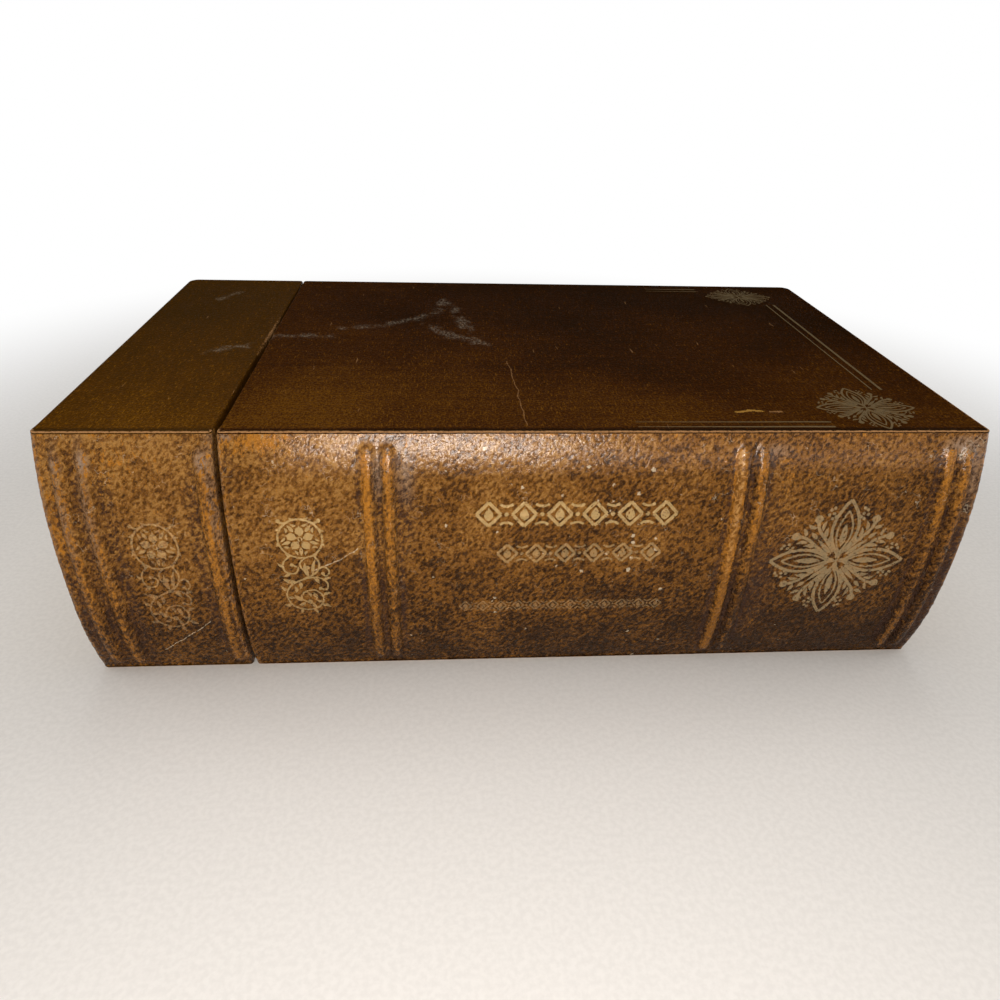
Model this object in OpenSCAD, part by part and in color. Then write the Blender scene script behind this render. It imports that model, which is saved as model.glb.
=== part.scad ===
// Box in the form of a thick leather-bound book, lying on its back cover.
// The head end is a lid, cut off square across covers and spine, that swings on
// two butt hinges at the fore-edge. The body holds one lined compartment.
// X runs along the spine from head to tail, Y from the spine to the fore-edge, Z up.

/* [Book] */
// Length of the book from head to tail
book_l = 365; // [300:1:420]
// Depth of the covers from the spine's edge to the fore-edge
book_d = 207; // [170:1:240]
// Thickness of the book over both covers
book_h = 114; // [96:1:140]
// Length of the hinged head end, up to the seam
lid_l = 66; // [50:1:110]

/* [Spine] */
// How far the rounded spine stands out past the covers
spine_swell = 9; // [6:0.5:13]
// Thickness of the spine block behind the covers' front edge
spine_wall = 5; // [4.5:0.5:9]
// Height of the flat shoulders of the spine, where the raised bands end
shoulder_h = 8; // [5:0.5:14]
// How far the spine stands out past the covers where its shoulders end
shoulder_out = 2.8; // [1.5:0.1:4]

/* [Boards and walls] */
// Thickness of each cover board
board_t = 5; // [3:0.5:8]
// Thickness of the fore-edge, head and tail walls
wall_t = 6; // [5.5:0.5:10]
// Thickness of the combed panels that stand for the page edges
page_t = 2; // [1:0.25:3]
// How far the covers stand out past the page edges at head and tail
end_overhang = 4; // [2:0.5:7]
// How far the covers stand out past the page edges at the fore-edge
fore_overhang = 3; // [2.5:0.25:5]
// Radius of the covers' corners at head and tail
corner_r = 5; // [2:0.5:9]
// Chamfer on the covers' corners beside the seam
seam_chamfer = 1.2; // [0.5:0.1:2]

/* [Leather and lining] */
// Thickness of the leather
leather_t = 0.8; // [0.5:0.1:1.2]
// Thickness of the felt lining
lining_t = 1.2; // [0.8:0.1:2.5]
// How far the lining stops short of the rims
lining_setback = 1.5; // [0.5:0.25:3]

/* [Seam] */
// Width of the seam at the spine
seam_gap_spine = 1.8; // [0.8:0.1:3]
// Width of the seam at the fore-edge
seam_gap_fore = 0.6; // [0.5:0.1:0.8]

/* [Raised bands] */
// Radius of each cord under the leather
cord_r = 2; // [1.2:0.1:2.6]
// How far the cords' centres lie outside the spine block
cord_rise = 0.2; // [0:0.05:0.5]
// Distance between the two cords of a band on the body
band_pitch = 7.4; // [6.5:0.1:10]
// Distance between the two cords of the head band
head_band_pitch = 9.2; // [6.5:0.1:11]
// Distance from the head to the middle of the head band
head_band_in = 13.7; // [12:0.1:18]
// Distance from the seam back to the single cord on the lid
collar_cord_back = 6; // [5.5:0.25:12]
// Distance from the seam to the middle of the first band on the body
upper_band_in = 58.3; // [40:0.1:80]
// Distance from the tail to the middle of the second band on the body
lower_band_in = 95.5; // [60:0.1:120]
// Distance from the tail to the middle of the last band
tail_band_in = 12.5; // [10:0.1:20]

/* [Hinges] */
// Distance between the middles of the two hinges
hinge_spread = 56; // [40:1:64]
// Length of each hinge along its pin
hinge_h = 22; // [18:1:28]
// Width of each hinge leaf from the pin's middle
leaf_w = 13; // [11:0.5:20]
// Thickness of each hinge leaf
leaf_t = 1; // [0.8:0.1:1.4]
// Radius of the hinge pins
pin_r = 1.2; // [0.8:0.1:1.4]
// How far the heads of the pins stand out all round
pin_head_rim = 0.6; // [0.3:0.1:0.8]
// Height of the heads of the pins
pin_head_h = 0.6; // [0.3:0.1:1]
// Radius of the screws' shanks
screw_r = 1.1; // [0.8:0.1:1.4]
// Radius of the screws' countersunk heads
screw_head_r = 2.1; // [1.8:0.1:2.4]
// Length of the screws
screw_l = 7; // [4.5:0.5:7.5]
// Distance between the two screws of a leaf
screw_spread = 13; // [9:0.5:14]
// Distance from the pin's middle to the screws
screw_out = 8.5; // [7.5:0.25:8.5]
// Width of the slots in the screws
slot_w = 0.5; // [0.3:0.1:0.8]
// Depth of the slots in the screws
slot_depth = 0.4; // [0.2:0.1:0.6]

/* [Catch] */
// Radius of the magnets and of the steel discs that they hold
catch_r = 3.5; // [2:0.25:3.75]
// Length of each magnet
magnet_l = 4; // [2:0.5:8]
// Thickness of each steel disc
disc_t = 1.5; // [0.8:0.1:3]
// Distance between the two magnets
catch_spread = 60; // [30:1:64]

/* [Clearances] */
// Radial clearance of the hinge pins in their knuckles
pin_clear = 0.05; // [0.02:0.01:0.1]
// Gap between neighbouring knuckles
knuckle_gap = 0.3; // [0.2:0.05:0.5]
// Gap between the knuckles and the page edges
knuckle_clear = 0.3; // [0.2:0.05:0.5]
// Clearance round the screws, magnets and discs
seat_clear = 0.05; // [0.02:0.01:0.1]

/* [Hidden] */
$fn = 64;

// A cut runs this much past the solid that it cuts
over = 1;

// Levels of the covers and of the space between them
cover_t = board_t + 2 * leather_t;
inner_low = leather_t + board_t;
inner_high = book_h - inner_low;
inner_h = inner_high - inner_low;

// Page faces, and the walls behind them
page_y = book_d - fore_overhang;
fore_wall_y = page_y - page_t - wall_t;
end_wall_x = end_overhang + page_t;
hollow_x = end_wall_x + wall_t;

// The spine is round between its shoulders, and each shoulder is flat
round_half_h = book_h / 2 - shoulder_h;
round_rise = spine_swell - shoulder_out;
spine_r = (pow(round_half_h, 2) + pow(round_rise, 2)) / (2 * round_rise);
spine_axis_y = spine_r - spine_swell;
block_r = spine_r - leather_t;
lip_y = -shoulder_out * leather_t / shoulder_h;

// Each cord runs round the spine block and just on to the shoulders, and the leather
// lies over it and over its ends
cord_ring_r = block_r + cord_rise;
ridge_r = cord_r + leather_t;
cord_half_angle = asin((round_half_h + leather_t) / spine_r);
ridge_half_angle = asin((round_half_h + 2 * leather_t) / spine_r);
lid_cords = [
    head_band_in - head_band_pitch / 2,
    head_band_in + head_band_pitch / 2,
    lid_l - collar_cord_back
];
// The body's cords are measured from the tail
upper_band_from_tail = book_l - lid_l - upper_band_in;
body_cords = [
    for (middle = [tail_band_in, lower_band_in, upper_band_from_tail])
        for (side = [-1, 1])
            middle + side * band_pitch / 2
];

// The knuckles fill the overhang, so the pins lie just outside the covers' edges
knuckle_r = fore_overhang;
pin_x = lid_l - seam_gap_fore / 2;
pin_y = page_y + knuckle_clear + knuckle_r;
knuckle_h = hinge_h / 3;
leaf_in = knuckle_r + knuckle_clear;
hinge_middles = [for (side = [-1, 1]) book_h / 2 + side * hinge_spread / 2];

// The magnets lie in the middle of the spine block, at the height of the catch
catch_bulge = sqrt(pow(block_r, 2) - pow(catch_spread / 2, 2)) - spine_axis_y;
catch_y = (spine_wall - catch_bulge) / 2;
catch_middles = [for (side = [-1, 1]) book_h / 2 + side * catch_spread / 2];

// The whole book is centred on the bottom of its box, knuckles and bands included
front_reach = spine_swell - leather_t + cord_rise + ridge_r;
rear_reach = pin_y + knuckle_r;
centre_y = (rear_reach - front_reach) / 2;

spine_leather_colour = "saddlebrown";
cover_leather_colour = "#33200c";
board_colour = "#6b5137";
page_colour = "#d8c79b";
lining_colour = "#5a1620";

module centred() {
    translate([-book_l / 2, -centre_y, 0])
        children();
}

// Body pieces are drawn from the tail, as lid pieces are from the head, and turned round
module body_half() {
    centred()
        translate([book_l, 0, 0])
            mirror([1, 0, 0])
                children();
}

module lid_half() {
    centred()
        children();
}

// Back-cover pieces are the front cover's, turned upside down
module on_back() {
    translate([0, 0, book_h])
        mirror([0, 0, 1])
            children();
}

// Distance from the outer end to the rim, at a depth y: the lid's rim slants a little
function rim(side, y) =
    side == "body"
        ? book_l - lid_l
        : lid_l - seam_gap_fore
            - (seam_gap_spine - seam_gap_fore) * (book_d - y) / (book_d + spine_swell);

// Outline of one half seen from above, cut off along its rim
module half_outline(side, inset = 0) {
    far_front = -spine_swell - 4 * ridge_r;
    far_back = book_d + over;
    edge_y = book_d - inset;
    cut = seam_chamfer;
    polygon([
        [-over, far_front],
        [rim(side, far_front) - inset, far_front],
        [rim(side, edge_y - cut) - inset, edge_y - cut],
        [rim(side, edge_y) - inset - cut, edge_y],
        [rim(side, edge_y) - inset - cut, far_back],
        [-over, far_back]
    ]);
}

module cut_at_rim(side, inset = 0) {
    intersection() {
        translate([0, 0, -over])
            linear_extrude(book_h + 2 * over)
                half_outline(side, inset);
        children();
    }
}

// What is taken off a square corner to round it
module corner_waste(r) {
    difference() {
        translate([-over, -r])
            square([r + over, r + over]);
        translate([r, -r])
            circle(r);
    }
}

module cover_outline(side, inset, front_y) {
    difference() {
        intersection() {
            translate([inset, front_y])
                square([book_l, book_d - inset - front_y]);
            half_outline(side, inset);
        }
        translate([inset, book_d - inset])
            corner_waste(corner_r - inset);
    }
}

module board(side) {
    translate([0, 0, inner_high])
        linear_extrude(board_t)
            cover_outline(side, leather_t, spine_wall);
}

// A box from the outer end inwards, past the rim, between two depths and two levels
module run(x, y_low, y_high, z_low, z_high) {
    translate([x, y_low, z_low])
        cube([book_l, y_high - y_low, z_high - z_low]);
}

// Section of the spine, seen from its end, with its middle at mid-height: a circle cut
// by the flats of the shoulders, which would meet in a point in front of it
module spine_section(r, inset) {
    edge_y = lip_y * inset / leather_t + inset;
    edge_z = book_h / 2 - inset;
    intersection() {
        translate([spine_axis_y, 0])
            circle(r, $fn = 256);
        polygon([
            [spine_wall, edge_z],
            [edge_y, edge_z],
            [edge_y - edge_z * shoulder_out / shoulder_h, 0],
            [edge_y, -edge_z],
            [spine_wall, -edge_z]
        ]);
    }
}

// A bar of that section, from one end inwards
module spine_bar(x, r, inset) {
    translate([x, 0, book_h / 2])
        rotate([90, 0, 90])
            linear_extrude(book_l)
                spine_section(r, inset);
}

// Half-round ridges round the spine at the given distances from the outer end
module ridges(places, r, half_angle) {
    translate([0, spine_axis_y, book_h / 2])
        rotate([0, 90, 0])
            rotate([0, 0, -90 - half_angle])
                for (place = places)
                    rotate_extrude(angle = 2 * half_angle, $fn = 256)
                        translate([cord_ring_r, place])
                            circle(r, $fn = 32);
}

module spine_block(side) {
    cut_at_rim(side, leather_t)
        spine_bar(leather_t, block_r, leather_t);
}

module spine_cords(places) {
    difference() {
        ridges(places, cord_r, cord_half_angle);
        spine_bar(-over, block_r, leather_t);
    }
}

// The leather follows the round and the cords, and is turned over both ends of the block
module spine_leather(side, places) {
    difference() {
        cut_at_rim(side)
            intersection() {
                union() {
                    spine_bar(0, spine_r, 0);
                    ridges(places, ridge_r, ridge_half_angle);
                }
                run(0, -book_h, spine_wall, leather_t, book_h - leather_t);
            }
        spine_block(side);
        spine_cords(places);
    }
}

// The leather is turned over the board's edges and in beneath, up to the page edges
module cover_leather(side) {
    difference() {
        translate([0, 0, book_h - cover_t])
            linear_extrude(cover_t)
                cover_outline(side, 0, lip_y);
        board(side);
        run(-over, -book_h, spine_wall, -over, book_h - leather_t);
        run(end_overhang, -over, page_y, -over, inner_high);
    }
}

module fore_edge_wall(side) {
    cut_at_rim(side)
        run(end_wall_x, fore_wall_y, page_y - page_t, inner_low, inner_high);
}

module end_wall() {
    translate([end_wall_x, spine_wall, inner_low])
        cube([wall_t, fore_wall_y - spine_wall, inner_h]);
}

module fore_edge_pages(side) {
    cut_at_rim(side)
        run(end_overhang, page_y - page_t, page_y, inner_low, inner_high);
}

module end_pages() {
    translate([end_overhang, spine_wall, inner_low])
        cube([page_t, page_y - page_t - spine_wall, inner_h]);
}

module cover_lining(side) {
    cut_at_rim(side, lining_setback)
        run(hollow_x, spine_wall, fore_wall_y, inner_high - lining_t, inner_high);
}

module spine_lining(side) {
    cut_at_rim(side, lining_setback)
        run(hollow_x, spine_wall, spine_wall + lining_t,
            inner_low + lining_t, inner_high - lining_t);
}

module fore_edge_lining(side) {
    cut_at_rim(side, lining_setback)
        run(hollow_x, fore_wall_y - lining_t, fore_wall_y,
            inner_low + lining_t, inner_high - lining_t);
}

module end_lining() {
    translate([hollow_x, spine_wall + lining_t, inner_low + lining_t])
        cube([lining_t, fore_wall_y - spine_wall - 2 * lining_t, inner_h - 2 * lining_t]);
}

// Puts what is drawn on the pin, at mid-height, in both hinges; side 1 is the body's leaf
module at_hinges(side) {
    for (middle = hinge_middles)
        translate([pin_x, pin_y, middle])
            mirror([side > 0 ? 0 : 1, 0, 0])
                children();
}

// Both screws of a leaf, drawn along -Y from the leaf's outer face
module at_screws() {
    for (side = [-1, 1])
        translate([screw_out, leaf_t - leaf_in, side * screw_spread / 2])
            rotate([90, 0, 0])
                children();
}

module screw_body(clear) {
    cylinder(h = screw_l + clear, r = screw_r + clear);
    cylinder(h = leaf_t, r1 = screw_head_r + clear, r2 = screw_r + clear);
}

module screw() {
    difference() {
        screw_body(0);
        translate([-screw_head_r - over, -slot_w / 2, -over])
            cube([2 * screw_head_r + 2 * over, slot_w, slot_depth + over]);
    }
}

module screw_holes(side) {
    at_hinges(side)
        at_screws()
            screw_body(seat_clear);
}

// One knuckle of a leaf, from one level to another, with the tab that joins it to the leaf
module knuckle(z_low, z_high) {
    translate([0, 0, z_low]) {
        cylinder(h = z_high - z_low, r = knuckle_r);
        translate([0, -leaf_in, 0])
            cube([leaf_in + over, leaf_t, z_high - z_low]);
    }
}

module hinge_leaf(levels) {
    difference() {
        union() {
            translate([leaf_in, -leaf_in, -hinge_h / 2])
                cube([leaf_w - leaf_in, leaf_t, hinge_h]);
            for (level = levels)
                knuckle(level[0], level[1]);
        }
        translate([0, 0, -hinge_h])
            cylinder(h = 2 * hinge_h, r = pin_r + pin_clear);
        at_screws()
            screw_body(seat_clear);
    }
}

module hinge_pin() {
    translate([0, 0, -hinge_h / 2])
        cylinder(h = hinge_h, r = pin_r);
    translate([0, 0, hinge_h / 2])
        cylinder(h = pin_head_h, r1 = pin_r + pin_head_rim, r2 = pin_r);
}

// A disc or pocket of the catch, sunk in the rim of a spine block
module at_catches(x) {
    for (middle = catch_middles)
        translate([x, catch_y, middle])
            rotate([0, 90, 0])
                children();
}

module body_front_board() {
    color(board_colour)
        body_half()
            board("body");
}

module body_back_board() {
    color(board_colour)
        body_half()
            on_back()
                board("body");
}

module body_spine_block() {
    color(board_colour)
        body_half()
            difference() {
                spine_block("body");
                at_catches(rim("body", 0) - leather_t - magnet_l - seat_clear)
                    cylinder(h = magnet_l + over, r = catch_r + seat_clear);
            }
}

module body_fore_edge_wall() {
    color(board_colour)
        difference() {
            body_half()
                fore_edge_wall("body");
            centred()
                screw_holes(1);
        }
}

module body_tail_wall() {
    color(board_colour)
        body_half()
            end_wall();
}

module body_fore_edge_pages() {
    color(page_colour)
        difference() {
            body_half()
                fore_edge_pages("body");
            centred()
                screw_holes(1);
        }
}

module body_tail_pages() {
    color(page_colour)
        body_half()
            end_pages();
}

module body_spine_cords() {
    color(board_colour)
        body_half()
            spine_cords(body_cords);
}

module body_spine_leather() {
    color(spine_leather_colour)
        body_half()
            spine_leather("body", body_cords);
}

module body_front_leather() {
    color(cover_leather_colour)
        body_half()
            cover_leather("body");
}

module body_back_leather() {
    color(cover_leather_colour)
        body_half()
            on_back()
                cover_leather("body");
}

module body_front_lining() {
    color(lining_colour)
        body_half()
            cover_lining("body");
}

module body_back_lining() {
    color(lining_colour)
        body_half()
            on_back()
                cover_lining("body");
}

module body_spine_lining() {
    color(lining_colour)
        body_half()
            spine_lining("body");
}

module body_fore_edge_lining() {
    color(lining_colour)
        body_half()
            fore_edge_lining("body");
}

module body_tail_lining() {
    color(lining_colour)
        body_half()
            end_lining();
}

module lid_front_board() {
    color(board_colour)
        lid_half()
            board("lid");
}

module lid_back_board() {
    color(board_colour)
        lid_half()
            on_back()
                board("lid");
}

module lid_spine_block() {
    color(board_colour)
        lid_half()
            difference() {
                spine_block("lid");
                at_catches(rim("lid", catch_y) - leather_t - disc_t - seat_clear)
                    cylinder(h = disc_t + over, r = catch_r + seat_clear);
            }
}

module lid_fore_edge_wall() {
    color(board_colour)
        lid_half()
            difference() {
                fore_edge_wall("lid");
                screw_holes(-1);
            }
}

module lid_head_wall() {
    color(board_colour)
        lid_half()
            end_wall();
}

module lid_fore_edge_pages() {
    color(page_colour)
        lid_half()
            difference() {
                fore_edge_pages("lid");
                screw_holes(-1);
            }
}

module lid_head_pages() {
    color(page_colour)
        lid_half()
            end_pages();
}

module lid_spine_cords() {
    color(board_colour)
        lid_half()
            spine_cords(lid_cords);
}

module lid_spine_leather() {
    color(spine_leather_colour)
        lid_half()
            spine_leather("lid", lid_cords);
}

module lid_front_leather() {
    color(cover_leather_colour)
        lid_half()
            cover_leather("lid");
}

module lid_back_leather() {
    color(cover_leather_colour)
        lid_half()
            on_back()
                cover_leather("lid");
}

module lid_front_lining() {
    color(lining_colour)
        lid_half()
            cover_lining("lid");
}

module lid_back_lining() {
    color(lining_colour)
        lid_half()
            on_back()
                cover_lining("lid");
}

module lid_spine_lining() {
    color(lining_colour)
        lid_half()
            spine_lining("lid");
}

module lid_fore_edge_lining() {
    color(lining_colour)
        lid_half()
            fore_edge_lining("lid");
}

module lid_head_lining() {
    color(lining_colour)
        lid_half()
            end_lining();
}

module body_hinge_leaves() {
    outer = hinge_h / 2;
    inner = knuckle_h / 2 + knuckle_gap / 2;
    color("goldenrod")
        centred()
            at_hinges(1)
                hinge_leaf([[-outer, -inner], [inner, outer]]);
}

module lid_hinge_leaves() {
    half = knuckle_h / 2 - knuckle_gap / 2;
    color("goldenrod")
        centred()
            at_hinges(-1)
                hinge_leaf([[-half, half]]);
}

module hinge_pins() {
    color("darkgoldenrod")
        centred()
            at_hinges(1)
                hinge_pin();
}

module body_hinge_screws() {
    color("darkgoldenrod")
        centred()
            at_hinges(1)
                at_screws()
                    screw();
}

module lid_hinge_screws() {
    color("darkgoldenrod")
        centred()
            at_hinges(-1)
                at_screws()
                    screw();
}

module catch_magnets() {
    color("silver")
        body_half()
            at_catches(rim("body", 0) - leather_t - magnet_l)
                cylinder(h = magnet_l, r = catch_r);
}

// The discs lie flush with the lid's slanting rim
module catch_discs() {
    color("silver")
        lid_half()
            cut_at_rim("lid", leather_t)
                at_catches(rim("lid", catch_y) - leather_t - disc_t)
                    cylinder(h = disc_t + over, r = catch_r);
}

body_front_board();
body_back_board();
body_spine_block();
body_fore_edge_wall();
body_tail_wall();
body_fore_edge_pages();
body_tail_pages();
body_spine_cords();
body_spine_leather();
body_front_leather();
body_back_leather();
body_front_lining();
body_back_lining();
body_spine_lining();
body_fore_edge_lining();
body_tail_lining();
lid_front_board();
lid_back_board();
lid_spine_block();
lid_fore_edge_wall();
lid_head_wall();
lid_fore_edge_pages();
lid_head_pages();
lid_spine_cords();
lid_spine_leather();
lid_front_leather();
lid_back_leather();
lid_front_lining();
lid_back_lining();
lid_spine_lining();
lid_fore_edge_lining();
lid_head_lining();
body_hinge_leaves();
lid_hinge_leaves();
hinge_pins();
body_hinge_screws();
lid_hinge_screws();
catch_magnets();
catch_discs();
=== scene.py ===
"""Looks of the leather book box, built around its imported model.

Lengths are millimetres in the book's own frame: X runs along the spine from head to tail,
Y from the spine's edge to the fore-edge, and Z up from the back cover. Only row() turns
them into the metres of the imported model.
"""

import logging
import math
from collections.abc import Callable, Iterable, Mapping, Sequence
from dataclasses import dataclass, field
from enum import Enum

import bmesh
import bpy
from mathutils import Matrix, Vector, noise

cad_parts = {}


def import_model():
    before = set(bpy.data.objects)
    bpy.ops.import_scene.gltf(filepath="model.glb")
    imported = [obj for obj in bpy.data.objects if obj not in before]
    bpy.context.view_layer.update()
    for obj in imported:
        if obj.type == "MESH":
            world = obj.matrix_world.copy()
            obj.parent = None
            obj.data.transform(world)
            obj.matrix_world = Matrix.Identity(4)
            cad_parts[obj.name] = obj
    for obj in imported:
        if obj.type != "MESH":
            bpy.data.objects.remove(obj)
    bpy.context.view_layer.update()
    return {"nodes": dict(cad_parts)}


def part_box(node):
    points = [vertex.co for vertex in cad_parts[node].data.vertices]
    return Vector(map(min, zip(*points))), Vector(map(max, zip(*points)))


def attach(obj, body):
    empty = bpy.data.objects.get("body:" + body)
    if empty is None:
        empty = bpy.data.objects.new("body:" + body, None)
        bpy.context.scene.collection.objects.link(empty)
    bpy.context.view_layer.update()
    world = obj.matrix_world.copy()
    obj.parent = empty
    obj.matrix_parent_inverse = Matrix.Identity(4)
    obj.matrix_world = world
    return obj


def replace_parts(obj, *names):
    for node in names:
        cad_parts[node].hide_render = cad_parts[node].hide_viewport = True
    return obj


LOG = logging.getLogger("book_box")
# A millimetre in metres
MM = 0.001
# Edges sharper than this stay sharp
SHARP = math.radians(38)
# How far the middle of a quarter round lies from its corner, as a share of its radius
ROUND = 0.29
# Seed of the noise that bends the grain; without one the grain would change from run to run
GRAIN_SEED = 7

Point = tuple[float, float]
Ring = list[Vector]
Face = tuple[int, ...]
# X, Z, half width, half height and strength of a patch on the spine
Patch = tuple[float, float, float, float, float]
Socket = bpy.types.NodeSocket
Tree = bpy.types.NodeTree


class Half(Enum):
    """The two halves of the box."""

    BODY = "body"
    LID = "lid"


class Cover(Enum):
    """The two covers of the book."""

    FRONT = "front"
    BACK = "back"


class Taper(Enum):
    """How the width of a gilt line changes along it."""

    EVEN = "even"
    LEAF = "leaf"
    TAIL = "tail"
    BEAD = "bead"


@dataclass(frozen=True)
class Book:
    """Sizes in millimetres that the pieces share, as in the solids."""

    length: float = 365.0
    depth: float = 207.0
    height: float = 114.0
    lid_length: float = 66.0
    gap_spine: float = 1.8
    gap_fore: float = 0.6
    swell: float = 9.0
    swell_power: float = 2.5
    spine_wall: float = 5.0
    board: float = 5.0
    leather: float = 0.8
    lip_y: float = -0.28
    end_overhang: float = 4.0
    fore_overhang: float = 3.0
    corner: float = 5.0
    centre_y: float = 99.55

    def middle(self) -> tuple[float, float, float]:
        """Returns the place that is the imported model's origin."""
        return (self.length / 2, self.centre_y, 0.0)

    def rim_x(self, half: Half, y: float) -> float:
        """Returns X of the half's rim at the depth y; the lid's rim slants a little."""
        if half is Half.BODY:
            return self.lid_length
        slant = (self.gap_spine - self.gap_fore) / (self.depth + self.swell)
        return self.lid_length - self.gap_fore - slant * (self.depth - y)

    def outer_x(self, half: Half) -> float:
        """Returns X of the half's outer end, the head or the tail."""
        return self.length if half is Half.BODY else 0.0


BOOK = Book()


def row(x: float, y: float, z: float) -> Vector:
    """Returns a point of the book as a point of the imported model, in metres."""
    return Vector((x - BOOK.length / 2, y - BOOK.centre_y, z)) * MM


def solid_box(node: str) -> tuple[Vector, Vector]:
    """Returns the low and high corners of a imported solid's box, in the book's frame."""
    low, high = (Vector(corner) * (1 / MM) + Vector(BOOK.middle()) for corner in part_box(node))
    return low, high


def paint(code: str) -> tuple[float, float, float, float]:
    """Turns an sRGB hex colour into linear red, green, blue and alpha.

    Args:
        code: The colour as "#rrggbb".

    Returns:
        Linear values from 0 to 1.
    """
    parts = [int(code[i : i + 2], 16) / 255 for i in (1, 3, 5)]
    linear = [c / 12.92 if c <= 0.04045 else ((c + 0.055) / 1.055) ** 2.4 for c in parts]
    return (linear[0], linear[1], linear[2], 1.0)


def held(value: float) -> float:
    """Returns the value, held between 0 and 1."""
    return min(1.0, max(0.0, value))


@dataclass(frozen=True)
class Nodes:
    """Adds shader nodes to one tree. Each method returns the socket with its result."""

    tree: Tree

    def add(
        self, kind: str, inputs: Mapping[int | str, object] | None = None, **settings: object
    ) -> Socket:
        """Adds one node with its settings and links.

        Args:
            kind: Type of the node, without the word ShaderNode.
            inputs: Values, hex colours or source sockets, by the input's name or number.
            settings: Values of the node's own properties.

        Returns:
            The node's first output that is in use; an output node has none.
        """
        node = self.tree.nodes.new("ShaderNode" + kind)
        for name, value in settings.items():
            setattr(node, name, value)
        for key, value in (inputs or {}).items():
            if isinstance(key, int):
                socket = node.inputs[key]
            else:
                socket = next(s for s in node.inputs if s.enabled and s.name == key)
            if isinstance(value, Socket):
                self.tree.links.new(value, socket)
            else:
                socket.default_value = paint(value) if isinstance(value, str) else value
        return next((s for s in node.outputs if s.enabled), None)

    def place(self) -> Socket:
        """Adds the place in the book's frame, in millimetres."""
        place = self.add("TexCoord").node.outputs["Object"]
        inputs = {0: place, 1: (1 / MM,) * 3, 2: BOOK.middle()}
        return self.add("VectorMath", inputs, operation="MULTIPLY_ADD")

    def axis(self, place: Socket, name: str) -> Socket:
        """Adds one coordinate of a place."""
        return self.add("SeparateXYZ", {0: place}).node.outputs[name]

    def mark(self, name: str) -> Socket:
        """Adds one of the values that the mesh holds at its points."""
        return self.add("Attribute", attribute_name=name).node.outputs["Fac"]

    def noise(self, place: Socket, scale: float, detail: float, roughness: float = 0.5) -> Socket:
        """Adds an even noise about 0.5, of that scale per millimetre."""
        inputs = {"Vector": place, "Scale": scale, "Detail": detail, "Roughness": roughness}
        return self.add("TexNoise", inputs)

    def cells(self, place: Socket, scale: float) -> tuple[Socket, Socket]:
        """Adds scattered cells: the distance from a cell's middle, and the cell's own chance."""
        cells = self.add("TexVoronoi", {"Vector": place, "Scale": scale})
        return cells, self.add("SeparateColor", {0: cells.node.outputs["Color"]})

    def ramp(self, value: Socket, low: float, high: float) -> Socket:
        """Adds a smooth step from 0 at low to 1 at high; low may be the larger."""
        inputs = {"Value": value, "From Min": low, "From Max": high}
        return self.add("MapRange", inputs, interpolation_type="SMOOTHSTEP")

    def blend(self, share: Socket | float, under: Socket | str, over: Socket | str) -> Socket:
        """Adds a mix of two colours, by the share of the second."""
        return self.add("Mix", {"Factor": share, "A": under, "B": over}, data_type="RGBA")

    def reckon(self, operation: str, *values: Socket | float) -> Socket:
        """Adds one operation on up to three values."""
        return self.add("Math", dict(enumerate(values)), operation=operation)

    def product(self, value: Socket, *factors: Socket | float) -> Socket:
        """Adds the product of the values."""
        for factor in factors:
            value = self.reckon("MULTIPLY", value, factor)
        return value

    def weigh(self, base: Socket | float, *parts: tuple[Socket, float]) -> Socket:
        """Adds values to a base, each times its weight."""
        for value, weight in parts:
            base = self.reckon("MULTIPLY_ADD", value, weight, base)
        return base

    def off(self, value: Socket, middle: float) -> Socket:
        """Adds how far a value is from the middle one."""
        return self.reckon("ABSOLUTE", self.reckon("SUBTRACT", value, middle))

    def scaled(self, place: Socket, *scales: float) -> Socket:
        """Adds a place with each of its three axes scaled."""
        return self.add("VectorMath", {0: place, 1: scales}, operation="MULTIPLY")

    def measured(self, operation: str, first: Socket, second: object) -> Socket:
        """Adds a number that is taken from two vectors."""
        return self.add("VectorMath", {0: first, 1: second}, operation=operation).node.outputs["Value"]

    def drift(self, place: Socket, reach: float, scale: float) -> Socket:
        """Adds a place that is shifted to and fro, so that lines there look hand-made.

        Args:
            place: Socket with the place in millimetres.
            reach: About how far it shifts, in millimetres.
            scale: Scale of the unevenness, per millimetre.

        Returns:
            The shifted place.
        """
        sway = self.noise(place, scale, 3.0).node.outputs["Color"]
        sway = self.add("VectorMath", {0: sway, 1: (0.5,) * 3}, operation="SUBTRACT")
        inputs = {0: sway, 1: (4 * reach,) * 3, 2: place}
        return self.add("VectorMath", inputs, operation="MULTIPLY_ADD")

    def trail(self, flat: Socket, line: Sequence[Sequence[float]]) -> Socket:
        """Adds the distance from a bent line.

        Args:
            flat: Socket with the place, laid flat on the line's plane.
            line: Corners of the line.

        Returns:
            The distance in millimetres.
        """
        distances = []
        for start, end in zip(line, line[1:]):
            way = Vector(end) - Vector(start)
            gone = self.add("VectorMath", {0: flat, 1: start}, operation="SUBTRACT")
            along = self.measured("DOT_PRODUCT", gone, way / way.length_squared)
            share = self.add("Math", {0: along, 1: 1.0}, operation="MULTIPLY", use_clamp=True)
            foot = self.add("VectorMath", {0: way, "Scale": share}, operation="SCALE")
            distances.append(self.measured("DISTANCE", gone, foot))
        nearest = distances[0]
        for distance in distances[1:]:
            nearest = self.reckon("MINIMUM", nearest, distance)
        return nearest

    def bump(self, height: Socket, strength: Socket | float, depth: float) -> Socket:
        """Adds fine relief of that depth in millimetres."""
        return self.add("Bump", {"Height": height, "Strength": strength, "Distance": depth * MM})

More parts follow.
